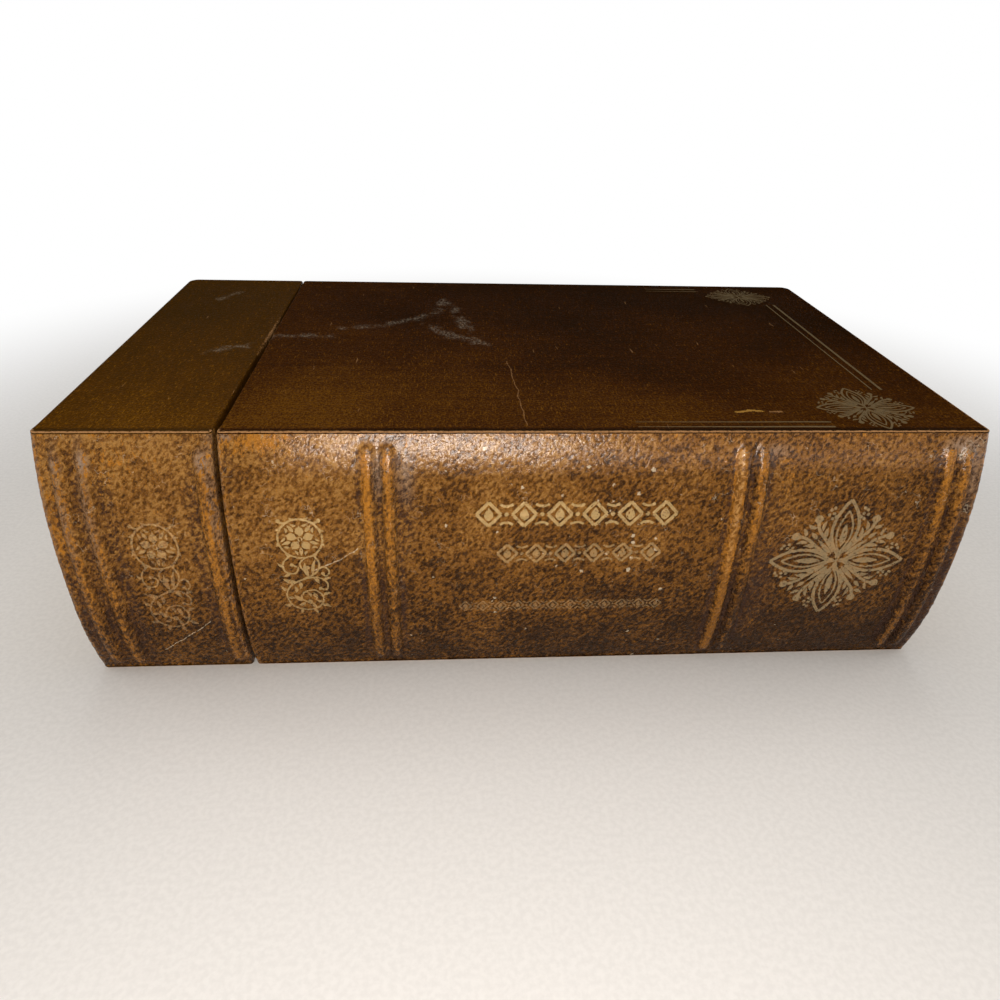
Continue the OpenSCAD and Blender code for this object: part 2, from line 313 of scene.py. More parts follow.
    def surface(
        self,
        colour: Socket,
        roughness: Socket | float,
        relief: Socket,
        more: Mapping[str, object] | None = None,
    ) -> Socket:
        """Adds the shader of a surface, with more of its inputs by name."""
        inputs = {"Base Color": colour, "Roughness": roughness, "Normal": relief}
        return self.add("BsdfPrincipled", {**inputs, **(more or {})})


@dataclass(frozen=True)
class Finish:
    """A surface finish. Subclasses paint it with nodes."""

    name: str

    def material(self) -> bpy.types.Material:
        """Returns the finish's material, made once and shared."""
        found = bpy.data.materials.get(self.name)
        if found:
            return found
        made = bpy.data.materials.new(self.name)
        made.use_nodes = True
        made.node_tree.nodes.clear()
        nodes = Nodes(made.node_tree)
        nodes.add("OutputMaterial", {"Surface": self.paint_surface(nodes, nodes.place())})
        return made

    def paint_surface(self, nodes: Nodes, place: Socket) -> Socket:
        """Adds the finish's nodes and returns the shader's socket."""
        raise NotImplementedError


@dataclass(frozen=True)
class AntiqueLeather(Finish):
    """Embossed goat leather stained tan, wiped with a dark glaze and varnished.

    The glaze stays in the creases of the grain and thins on its tops, so that the leather looks
    mottled, and the creases are painted darker still as painted shade; the colour is also painted
    paler towards the shoulder as painted light and darker towards the foot as painted shade. The
    varnish gives a soft gloss, and amber stain shows where it is rubbed through.
    """

    crease: str = "#301c08"
    glaze: str = "#533412"
    stain: str = "#805420"
    tan: str = "#ad7f42"
    amber: str = "#b87a2a"
    hide: str = "#c39458"
    # Grime with painted shade, laid in the hollows and beside the cords
    grime_and_shade: str = "#432f26"
    # Painted sheen: a pale colour that stands in for highlights
    painted_sheen: str = "#9b8470"
    fleck: str = "#d6c4a6"
    # Size of the crushed grain; the pebbles of about 2 mm are in the mesh
    grain_mm: float = 1.35
    # Turn of the grain's creases about Y, and how much longer they are than wide
    grain_turn: float = 0.7
    grain_stretch: float = 1.6
    roughness: float = 0.28
    # X of the stretch of spine with the most flecks
    worn_x: float = 200.0
    scratches: tuple[tuple[Point, ...], ...] = (
        ((97.7, 57.5), (108.0, 62.2), (115.2, 66.9)),
        ((29.9, 13.1), (44.0, 23.8), (52.4, 30.9)),
    )

    def folds(self, nodes: Nodes, place: Socket) -> Socket:
        """Adds the crushed grain: under 0.5 in its creases and over it on its tops, all aslant."""
        turn, scale = (0.0, self.grain_turn, 0.0), (1.0, 1.0, self.grain_stretch)
        inputs = {"Vector": place, "Rotation": turn, "Scale": scale}
        slanted = nodes.add("Mapping", inputs, vector_type="TEXTURE")
        return nodes.noise(slanted, 1 / self.grain_mm, 3.0, 0.55)

    def tone(self, nodes: Nodes, place: Socket) -> Socket:
        """Adds the mottling with painted light and shade: about 0 in dark creases and 1 on pale grain."""
        return nodes.weigh(
            -1.24,
            # Painted light and shade: the spine is paler towards its shoulder, which faces the lamps, and
            # darker towards its foot; it is also paler towards the head
            (nodes.ramp(nodes.axis(place, "Z"), 2.0, 104.0), 0.4),
            (nodes.ramp(nodes.axis(place, "X"), 330.0, 40.0), 0.21),
            (nodes.mark("grain"), 0.16),
            # Darker in the grain's creases: the glaze held there, with painted shade that the creases
            # would hold
            (nodes.ramp(self.folds(nodes, place), 0.38, 0.58), 0.42),
            (nodes.noise(place, 0.72, 5.0, 0.78), 1.3),
            (nodes.noise(place, 0.05, 3.0), 0.7),
        )

    def rubbed(self, nodes: Nodes, place: Socket) -> Socket:
        """Adds the ragged patches where the glaze is rubbed through, from the worn value."""
        patch = nodes.noise(nodes.scaled(place, 1.0, 0.0, 0.45), 0.7, 6.0, 0.75)
        ragged = nodes.weigh(-2.3, (patch, 4.6))
        return nodes.ramp(nodes.reckon("ADD", nodes.mark("worn"), ragged), 0.48, 0.58)

    def skin(self, nodes: Nodes, place: Socket) -> Socket:
        """Adds the leather's colour."""
        tone = self.tone(nodes, place)
        skin = nodes.blend(nodes.ramp(tone, 0.0, 0.34), self.crease, self.glaze)
        skin = nodes.blend(nodes.ramp(tone, 0.26, 0.62), skin, self.stain)
        skin = nodes.blend(nodes.ramp(tone, 0.56, 1.05), skin, self.tan)
        # Grime with painted shade in the hollows: the dips and dark lines beside the cords, and the shade
        # patches
        grime_and_shade_share = nodes.product(nodes.mark("hollow"), nodes.ramp(tone, 0.95, 0.25))
        skin = nodes.blend(grime_and_shade_share, skin, self.grime_and_shade)
        # Painted sheen: pale patches that stand in for highlights on the cords' tips and flanks and on
        # the turned ends
        painted_sheen_share = nodes.product(nodes.mark("painted_sheen"), nodes.ramp(tone, 0.15, 0.75))
        skin = nodes.blend(painted_sheen_share, skin, self.painted_sheen)
        worn = nodes.blend(nodes.ramp(tone, 0.1, 0.9), self.stain, self.amber)
        bare = nodes.product(nodes.ramp(nodes.mark("worn"), 1.0, 1.5), nodes.ramp(tone, 0.2, 0.8))
        worn = nodes.blend(bare, worn, self.hide)
        return nodes.blend(self.rubbed(nodes, place), skin, worn)

    def flecks(self, nodes: Nodes, place: Socket) -> Socket:
        """Adds flecks of chipped varnish, thicker about the spine's middle."""
        spots, chance = nodes.cells(nodes.drift(place, 0.4, 1.5), 0.2)
        middle = nodes.ramp(nodes.off(nodes.axis(place, "X"), self.worn_x), 90.0, 30.0)
        size = nodes.ramp(nodes.weigh(chance, (middle, 0.3)), 0.76, 1.3)
        return nodes.reckon("LESS_THAN", spots, nodes.product(size, 0.18))

    def cracks(self, nodes: Nodes, place: Socket) -> Socket:
        """Adds hair cracks, which follow level lines of a noise in short pieces."""
        some = nodes.ramp(nodes.noise(place, 0.14, 3.0), 0.56, 0.61)
        line = nodes.ramp(nodes.off(nodes.noise(place, 0.28, 1.0), 0.5), 0.012, 0.004)
        return nodes.product(some, 0.55, line, nodes.ramp(nodes.axis(place, "Z"), 20.0, 90.0))

    def marked(self, nodes: Nodes, place: Socket, skin: Socket) -> Socket:
        """Adds the pale marks: flecks, cracks and scratches."""
        mark = nodes.reckon("MAXIMUM", self.flecks(nodes, place), self.cracks(nodes, place))
        thin = nodes.weigh(-0.3, (nodes.noise(place, 0.9, 3.0), 0.9))
        bent = nodes.scaled(nodes.drift(place, 0.4, 0.2), 1.0, 0.0, 1.0)
        for line in self.scratches:
            away = nodes.trail(bent, [(x, 0.0, z) for x, z in line])
            mark = nodes.reckon("MAXIMUM", mark, nodes.reckon("LESS_THAN", away, thin))
        return nodes.blend(nodes.product(mark, 0.8), skin, self.fleck)

    def paint_surface(self, nodes: Nodes, place: Socket) -> Socket:
        """Adds the leather's nodes and returns the shader's socket."""
        skin = self.marked(nodes, place, self.skin(nodes, place))
        creases = nodes.noise(place, 1.2, 5.0, 0.7)
        height = nodes.weigh(creases, (self.folds(nodes, place), 4.0))
        # Hands have polished the shoulder, where the grain is also stretched flat
        polish = nodes.product(
            nodes.ramp(nodes.axis(place, "Z"), 96.0, 107.0),
            nodes.ramp(creases, 0.36, 0.52),
            nodes.ramp(nodes.axis(place, "X"), 76.0, 104.0),
        )
        gloss = nodes.weigh(self.roughness - 0.15, (creases, 0.3))
        more = {
            "IOR": 1.46,
            "Specular IOR Level": 0.17,
            "Coat Weight": polish,
            "Coat Roughness": 0.13,
            # The varnish fills the grain, so its own face is flatter
            "Coat Normal": nodes.bump(height, 0.5, 0.1),
        }
        return nodes.surface(skin, gloss, nodes.bump(height, nodes.weigh(1.0, (polish, -0.6)), 0.7), more)


@dataclass(frozen=True)
class GlazedLeather(Finish):
    """Smooth calf leather under a thick dark glaze, brushed on in streaks.

    The glaze makes it nearly black away from the light; it is painted lighter towards the spine's
    edge and the head as painted light, and darker away from them as painted shade. Brown stain
    shows along the brush marks, and the edges are rubbed to the tan of the hide.
    """

    deep: str = "#200f00"
    brown: str = "#3b1c02"
    amber: str = "#6b440b"
    hide: str = "#a47a50"
    # Whitish scuffs, partly painted sheen
    scuff_and_sheen: str = "#988d7c"
    flake: str = "#b5893f"
    # Brush marks are 2 to 4 mm wide and run up to 100 mm: scales per millimetre
    brush: tuple[float, float, float] = (0.014, 0.3, 0.3)
    # How much lighter the leather is painted towards the spine's edge, and towards the head: painted
    # light, with painted shade where it falls off
    near: float = 0.35
    head: float = 0.2
    roughness: float = 0.4
    # Lines of the whitish scuffs, which are partly painted sheen
    scuff_and_sheen_lines: tuple[tuple[Point, ...], ...] = (
        ((42.0, 86.0), (51.6, 93.0), (58.5, 93.1)),
        ((65.5, 104.6), (76.9, 107.9), (93.7, 108.3)),
        ((99.0, 118.5), (118.0, 125.0), (131.7, 132.3), (140.0, 141.8)),
        ((146.0, 146.0), (149.7, 170.0), (155.0, 158.0), (160.0, 128.0), (168.9, 96.9)),
        ((141.8, 125.7), (150.1, 113.0), (164.7, 99.1)),
        ((25.5, 167.5), (33.5, 181.2)),
    )
    # How far a scuff and its painted sheen reach from its line
    scuff_and_sheen_mm: float = 4.4
    # The lines of the scratches, each after its width in millimetres
    scratches: tuple[tuple[float, tuple[Point, ...]], ...] = (
        (0.35, ((178.4, 74.1), (180.5, 40.0), (181.0, 5.7))),
        (1.5, ((267.5, 18.2), (273.5, 19.4), (278.8, 18.8))),
        (1.1, ((282.0, 19.0), (286.5, 18.6))),
    )
    # A wider scratch than this has flakes of gold left in it
    flaked_mm: float = 1.2

    def tone(self, nodes: Nodes, place: Socket) -> Socket:
        """Adds the glaze's unevenness, about 0 where it is thick and 1 where it is thin, and painted
        light and shade across the cover.
        """
        fibres = nodes.noise(nodes.scaled(place, 2.0, 0.25, 1.0), 1.0, 2.0)
        return nodes.weigh(
            -1.37,
            # Painted light and shade: lighter towards the spine's edge and the head, darker away from
            # them
            (nodes.ramp(nodes.axis(place, "Y"), 170.0, -20.0), self.near),
            (nodes.ramp(nodes.axis(place, "X"), 240.0, 40.0), self.head),
            # Painted shade: a darker line just inside the spine's edge, the shadow line at the lip
            (nodes.ramp(nodes.axis(place, "Y"), 4.5, 1.5), -0.45),
            (nodes.noise(nodes.scaled(place, *self.brush), 1.0, 5.0, 0.6), 0.3),
            (nodes.noise(place, 0.02, 3.0), 0.5),
            # Loose fibres of the hide, about 0.5 mm by 4 mm, stand out lighter
            (nodes.ramp(fibres, 0.58, 0.72), 0.45),
            (nodes.noise(place, 1.1, 5.0, 0.8), 2.2),
        )

    def skin(self, nodes: Nodes, place: Socket) -> Socket:
        """Adds the leather's colour."""
        tone = self.tone(nodes, place)
        skin = nodes.blend(nodes.ramp(tone, 0.05, 0.5), self.deep, self.brown)
        return nodes.blend(nodes.ramp(tone, 0.4, 0.95), skin, self.amber)

    def worn(self, nodes: Nodes, place: Socket, fine: Socket, skin: Socket) -> Socket:
        """Adds the rubbed edges, and hair scratches that run towards the fore-edge."""
        edge = nodes.reckon("ADD", nodes.mark("worn"), nodes.weigh(-0.8, (fine, 1.6)))
        skin = nodes.blend(nodes.ramp(edge, 0.45, 0.85), skin, self.hide)
        # A hair scratch is about 0.4 mm by 5 mm
        thin = nodes.scaled(nodes.drift(place, 0.5, 0.2), 0.5, 0.04, 0.2)
        hairs, chance = nodes.cells(thin, 1.0)
        reach = nodes.product(nodes.ramp(chance, 0.7, 1.2), 0.2)
        hair = nodes.product(nodes.reckon("LESS_THAN", hairs, reach), 0.5)
        return nodes.blend(hair, skin, self.hide)

    def marked(self, nodes: Nodes, place: Socket, skin: Socket) -> Socket:
        """Adds the rubbed edges, the scuffs with their painted sheen, and the scratches."""
        fine = nodes.noise(place, 0.8, 5.0, 0.7)
        skin = self.worn(nodes, place, fine, skin)
        patchy = nodes.product(nodes.ramp(nodes.noise(place, 0.12, 4.0), 0.38, 0.56), 0.46)
        bent = nodes.scaled(nodes.drift(place, 3.0, 0.13), 1.0, 1.0, 0.0)
        # Whitish scuffs, partly painted sheen, along their lines
        for line in self.scuff_and_sheen_lines:
            away = nodes.trail(bent, [(x, y, 0.0) for x, y in line])
            share = nodes.product(nodes.ramp(away, self.scuff_and_sheen_mm, 0.0), patchy)
            share = nodes.product(nodes.ramp(fine, 0.46, 0.58), share)
            skin = nodes.blend(share, skin, self.scuff_and_sheen)
        bent = nodes.scaled(nodes.drift(place, 0.8, 0.12), 1.0, 1.0, 0.0)
        for width, line in self.scratches:
            away = nodes.trail(bent, [(x, y, 0.0) for x, y in line])
            thin = nodes.weigh(-0.75 * width, (fine, 2.6 * width))
            share = nodes.product(nodes.reckon("LESS_THAN", away, thin), 0.35 + 0.25 * width)
            skin = nodes.blend(share, skin, self.flake if width > self.flaked_mm else self.hide)
        return skin

    def paint_surface(self, nodes: Nodes, place: Socket) -> Socket:
        """Adds the leather's nodes and returns the shader's socket."""
        skin = self.marked(nodes, place, self.skin(nodes, place))
        pores = nodes.ramp(nodes.add("TexVoronoi", {"Vector": place, "Scale": 0.8}), 0.8, 0.1)
        height = nodes.weigh(pores, (nodes.noise(place, 0.7, 5.0, 0.7), 2.0))
        more = {"IOR": 1.45, "Specular IOR Level": 0.025}
        return nodes.surface(skin, self.roughness, nodes.bump(height, 0.5, 0.14), more)


@dataclass(frozen=True)
class GiltFoil(Finish):
    """Gold foil pressed on with hot brass tools, dulled, and partly rubbed off to the leather."""

    under: AntiqueLeather | GlazedLeather = AntiqueLeather("")
    gold: str = "#b0935d"
    # How much of the area isn't rubbed off, from 0 to 1
    kept: float = 0.8
    # How much of the foil is left, from 0 to 1, where it isn't rubbed off
    body: float = 0.85
    # How much of that is painted away at the foot of the spine, as painted shade on the gilt
    foot_shade: float = 0.0
    roughness: float = 0.45

    def paint_surface(self, nodes: Nodes, place: Socket) -> Socket:
        """Adds the foil's nodes and returns the shader's socket."""
        rub = nodes.noise(place, 1.1, 5.0, 0.8)
        # Painted shade: less foil towards the foot of the spine
        foot_shade_share = nodes.product(nodes.ramp(nodes.axis(place, "Z"), 76.0, 24.0), self.foot_shade)
        start = 0.66 - 0.4 * self.kept
        body = nodes.weigh(self.body, (foot_shade_share, -self.body))
        share = nodes.product(nodes.ramp(rub, start, start + 0.16), body)
        skin = nodes.blend(share, self.under.skin(nodes, place), self.gold)
        more = {"Metallic": nodes.product(share, 0.25)}
        return nodes.surface(skin, self.roughness, nodes.bump(rub, 0.4, 0.2), more)


@dataclass(frozen=True)
class PaintedPages(Finish):
    """Fibreboard combed into sheets and painted the colour of old paper, darker in the grooves."""

    paper: str = "#cdb78c"
    stain: str = "#ae9060"
    shade: str = "#7c5d34"

    def paint_surface(self, nodes: Nodes, place: Socket) -> Socket:
        """Adds the page edges' nodes and returns the shader's socket."""
        sheets = nodes.noise(nodes.scaled(place, 0.02, 0.02, 1.6), 1.0, 3.0)
        tone = nodes.weigh(nodes.noise(place, 0.02, 4.0), (sheets, 1.2))
        skin = nodes.blend(nodes.ramp(tone, 1.45, 0.75), self.paper, self.stain)
        skin = nodes.blend(nodes.product(nodes.mark("hollow"), 0.8), skin, self.shade)
        return nodes.surface(skin, 0.68, nodes.bump(sheets, 0.4, 0.2))


@dataclass(frozen=True)
class StainedFibreboard(Finish):
    """Sawn fibreboard under a brown stain, with its short fibres showing."""

    stain: str = "#5a3d22"
    fibre: str = "#7d5a36"

    def paint_surface(self, nodes: Nodes, place: Socket) -> Socket:
        """Adds the board's nodes and returns the shader's socket."""
        fibres = nodes.noise(place, 1.6, 5.0, 0.75)
        tone = nodes.weigh(fibres, (nodes.noise(place, 0.05, 2.0), 0.6))
        skin = nodes.blend(nodes.ramp(tone, 0.6, 1.0), self.stain, self.fibre)
        return nodes.surface(skin, 0.78, nodes.bump(fibres, 0.5, 0.2))


@dataclass(frozen=True)
class WoolFelt(Finish):
    """Pressed wool felt, dyed wine red: matted fibres with a soft sheen."""

    wool: str = "#571722"
    fibre: str = "#7a2b38"

    def paint_surface(self, nodes: Nodes, place: Socket) -> Socket:
        """Adds the felt's nodes and returns the shader's socket."""
        # Wool fibres are about 0.03 mm thick; their tangles are drawn 0.5 mm wide to show
        tangle = nodes.add(
            "TexNoise",
            {"Vector": place, "Scale": 2.0, "Detail": 6.0, "Roughness": 0.8, "Distortion": 1.2},
        )
        tone = nodes.weigh(tangle, (nodes.noise(place, 0.06, 3.0), 0.7))
        skin = nodes.blend(nodes.ramp(tone, 0.65, 1.05), self.wool, self.fibre)
        more = {"Sheen Weight": 0.35, "Sheen Roughness": 0.5}
        return nodes.surface(skin, 0.95, nodes.bump(tangle, 0.7, 0.3), more)


@dataclass(frozen=True)
class WornMetal(Finish):
    """Rolled or turned metal with a brushed face, darkened by handling."""

    bright: str = "#bd9850"
    dull: str = "#94733b"
    roughness: float = 0.34

    def paint_surface(self, nodes: Nodes, place: Socket) -> Socket:
        """Adds the metal's nodes and returns the shader's socket."""
        brushed = nodes.noise(nodes.scaled(place, 0.4, 0.4, 6.0), 1.0, 3.0)
        tarnish = nodes.noise(place, 0.22, 5.0, 0.65)
        skin = nodes.blend(nodes.ramp(tarnish, 0.42, 0.68), self.bright, self.dull)
        gloss = nodes.weigh(self.roughness - 0.12, (tarnish, 0.3))
        return nodes.surface(skin, gloss, nodes.bump(brushed, 0.25, 0.05), {"Metallic": 1.0})


@dataclass(frozen=True)
class MattFloor(Finish):
    """Pale matt paper under the book, that fades to plain white away from it."""

    shade: str = "#e0dfde"
    tooth: str = "#e7e6e5"
    # Distances from the book's middle between which it fades
    fade_from: float = 260.0
    fade_to: float = 620.0

    def paint_surface(self, nodes: Nodes, place: Socket) -> Socket:
        """Adds the floor's nodes and returns the shader's socket."""
        fibres = nodes.ramp(nodes.noise(place, 0.5, 3.0), 0.3, 0.7)
        skin = nodes.blend(fibres, self.shade, self.tooth)
        paper = nodes.add("BsdfPrincipled", {"Base Color": skin, "Roughness": 0.9})
        away = nodes.measured("DISTANCE", place, BOOK.middle())
        rays = nodes.add("LightPath").node.outputs
        seen = nodes.reckon("MAXIMUM", rays["Is Camera Ray"], rays["Is Glossy Ray"])
        seen = nodes.reckon("MAXIMUM", seen, rays["Is Transmission Ray"])
        share = nodes.product(nodes.ramp(away, self.fade_from, self.fade_to), seen)
        white = nodes.add("Emission", {"Color": "#ffffff", "Strength": 1.0})
        return nodes.add("MixShader", {0: share, 1: paper, 2: white})


SPINE_SKIN = AntiqueLeather("antique_goat_leather_embossed")
BODY_SKIN = GlazedLeather("glazed_calf_leather_body")
LID_SKIN = GlazedLeather(
    "glazed_calf_leather_lid",
    deep="#3a2505",
    brown="#4e2e04",
    amber="#7e5410",
    brush=(0.34, 0.014, 0.3),
    head=0.0,
)
PAGES = PaintedPages("painted_combed_pages")
BOARD = StainedFibreboard("stained_fibreboard")
FELT = WoolFelt("wool_felt_wine")
BRASS = WornMetal("aged_brass_brushed")
NICKEL = WornMetal("nickel_plate_polished", bright="#c3c2bd", dull="#8f8d87", roughness=0.28)
ZINC = WornMetal("zinc_plate_dull", bright="#a9abad", dull="#77797b", roughness=0.42)
CORD = StainedFibreboard("half_round_strip_sawn", stain="#6d5232", fibre="#8f7048")


@dataclass
class Skin:
    """A mesh that is being built: points, faces and values for the finish."""

    points: list[Vector] = field(default_factory=list)
    faces: list[Face] = field(default_factory=list)
    marks: dict[str, list[float]] = field(default_factory=dict)

    def join(self, first: Sequence[int], second: Sequence[int]) -> None:
        """Adds the faces between two closed rows of points, given by their numbers."""
        count = len(first)
        for j in range(count):
            k = (j + 1) % count
            self.faces.append((first[j], first[k], second[k], second[j]))

    def loft(self, rings: Sequence[Ring], closed_ends: bool = True) -> int:
        """Joins closed rings of equal length.

        Args:
            rings: The rings in order, each a list of points.
            closed_ends: Whether the first and last rings get a flat face.

        Returns:
            The number of the first ring's first point.
        """
        start, size = len(self.points), len(rings[0])
        numbers = [range(start + i * size, start + (i + 1) * size) for i in range(len(rings))]
        for ring in rings:
            self.points.extend(ring)
        for low, high in zip(numbers, numbers[1:]):
            self.join(low, high)
        if closed_ends:
            self.faces += [tuple(reversed(numbers[0])), tuple(numbers[-1])]
        return start

    def sheet(self, points: Sequence[Vector], wide: int) -> list[int]:
        """Adds a grid of points and its faces, as the first part of the mesh.

        Args:
            points: The grid's points, row by row.
            wide: How many points are in a row.

        Returns:
            The numbers of the points round its border.
        """
        self.points.extend(points)
        tall = len(points) // wide
        for i in range(tall - 1):
            for k in range(i * wide, i * wide + wide - 1):
                self.faces.append((k, k + 1, k + wide + 1, k + wide))
        border = list(range(wide)) + [i * wide + wide - 1 for i in range(1, tall)]
        border += [(tall - 1) * wide + j for j in range(wide - 2, -1, -1)]
        return border + [i * wide for i in range(tall - 2, 0, -1)]

    def drape(self, border: Sequence[int], rings: Sequence[Ring]) -> None:
        """Goes on from a sheet's border through the rings, and closes the last one."""
        start = self.loft(rings, closed_ends=False)
        self.join(border, range(start, start + len(border)))
        last = len(self.points) - len(border)
        self.faces.append(tuple(range(last, len(self.points))))

    def piece(self, name: str, finish: Finish, body: Half, slot: str = "") -> bpy.types.Object:
        """Makes the object, smooth except at sharp corners, and puts it on its body.

        Args:
            name: The piece's name.
            finish: Its finish.
            body: The half that it moves with.
            slot: Not used.

        Returns:
            The new object.
        """
        mesh = bpy.data.meshes.new(name)
        mesh.from_pydata([row(*p) for p in self.points], [], self.faces)
        for mark, values in self.marks.items():
            layer = mesh.attributes.new(mark, "FLOAT", "POINT")
            layer.data.foreach_set("value", values)
        shape = bmesh.new()
        shape.from_mesh(mesh)
        bmesh.ops.recalc_face_normals(shape, faces=shape.faces)
        shape.to_mesh(mesh)
        shape.free()
        mesh.shade_smooth()
        mesh.set_sharp_from_angle(angle=SHARP)
        mesh.materials.append(finish.material())
        made = bpy.data.objects.new(name, mesh)
        bpy.context.scene.collection.objects.link(made)
        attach(made, body.value)
        LOG.info("%s: %d faces", name, len(mesh.polygons))
        return made


def unevenness(x: float, y: float, z: float, height: float) -> float:
    """Returns the leather's hand-laid unevenness at a point, from 0 up to about height."""
    place = Vector((x, y, z))
    # Waves of about 17 mm and of about 6 mm
    broad = noise.noise(place / 17.0 + Vector((3.1, 7.7, 1.3)))
    near = noise.noise(place / 6.0 + Vector((9.2, 2.4, 5.8)))
    return height * (0.5 + 0.38 * broad + 0.22 * near)


def spaced(low: float, high: float, step: float) -> list[float]:
    """Returns even places from low to high, no further apart than step."""
    count = max(1, math.ceil((high - low) / step))
    return [low + (high - low) * i / count for i in range(count + 1)]


def smooth_max(a: float, b: float, width: float) -> float:
    """Returns the larger value, with a fillet of that width where they meet."""
    share = max(0.0, width - abs(a - b)) / width
    return max(a, b) + share * share * width / 4


@dataclass(frozen=True)
class Cord:
    """A cord or a roll under the spine's leather, and how the leather over it is rubbed.

    rub gives how much is rubbed, from 0 up, at levels from the bottom up.
    """

    x: float
    rub: tuple[Point, ...]
    radius: float = 2.8
    rise: float = 2.18
    low: float = 8.8
    high: float = 105.2
    fillet: float = 0.9
    # How far the rubbed stripe lies off the crest at the top, in millimetres
    lean: float = 0.0
    # How blunt its ends are, and how steeply the leather falls away beside it
    blunt: float = 0.62
    slope: float = 2.2

    def cap(self, x: float, z: float) -> tuple[float, float]:
        """Returns how far the cord would lift the leather here, and the distance from its line."""
        beyond = z - min(max(z, self.low), self.high)
        away = math.hypot(x - self.x, self.blunt * beyond)
        sunk = self.radius - self.rise
        if away < self.radius:
            return math.sqrt(self.radius**2 - away**2) - sunk, away
        return -sunk - self.slope * (away - self.radius), away

    def rubbed(self, z: float) -> float:
        """Returns how much the leather is rubbed at a level."""
        for (low, a), (high, b) in zip(self.rub, self.rub[1:]):
            if low <= z <= high:
                return a + (b - a) * (z - low) / (high - low)
        return 0.0


def rim_roll(x: float) -> Cord:
    """Returns the low roll of leather that is turned in along the seam."""
    return Cord(x, ((0.0, 0.0), (114.0, 0.2)), radius=1.3, rise=0.5, low=0.0, high=114.0, fillet=0.5)


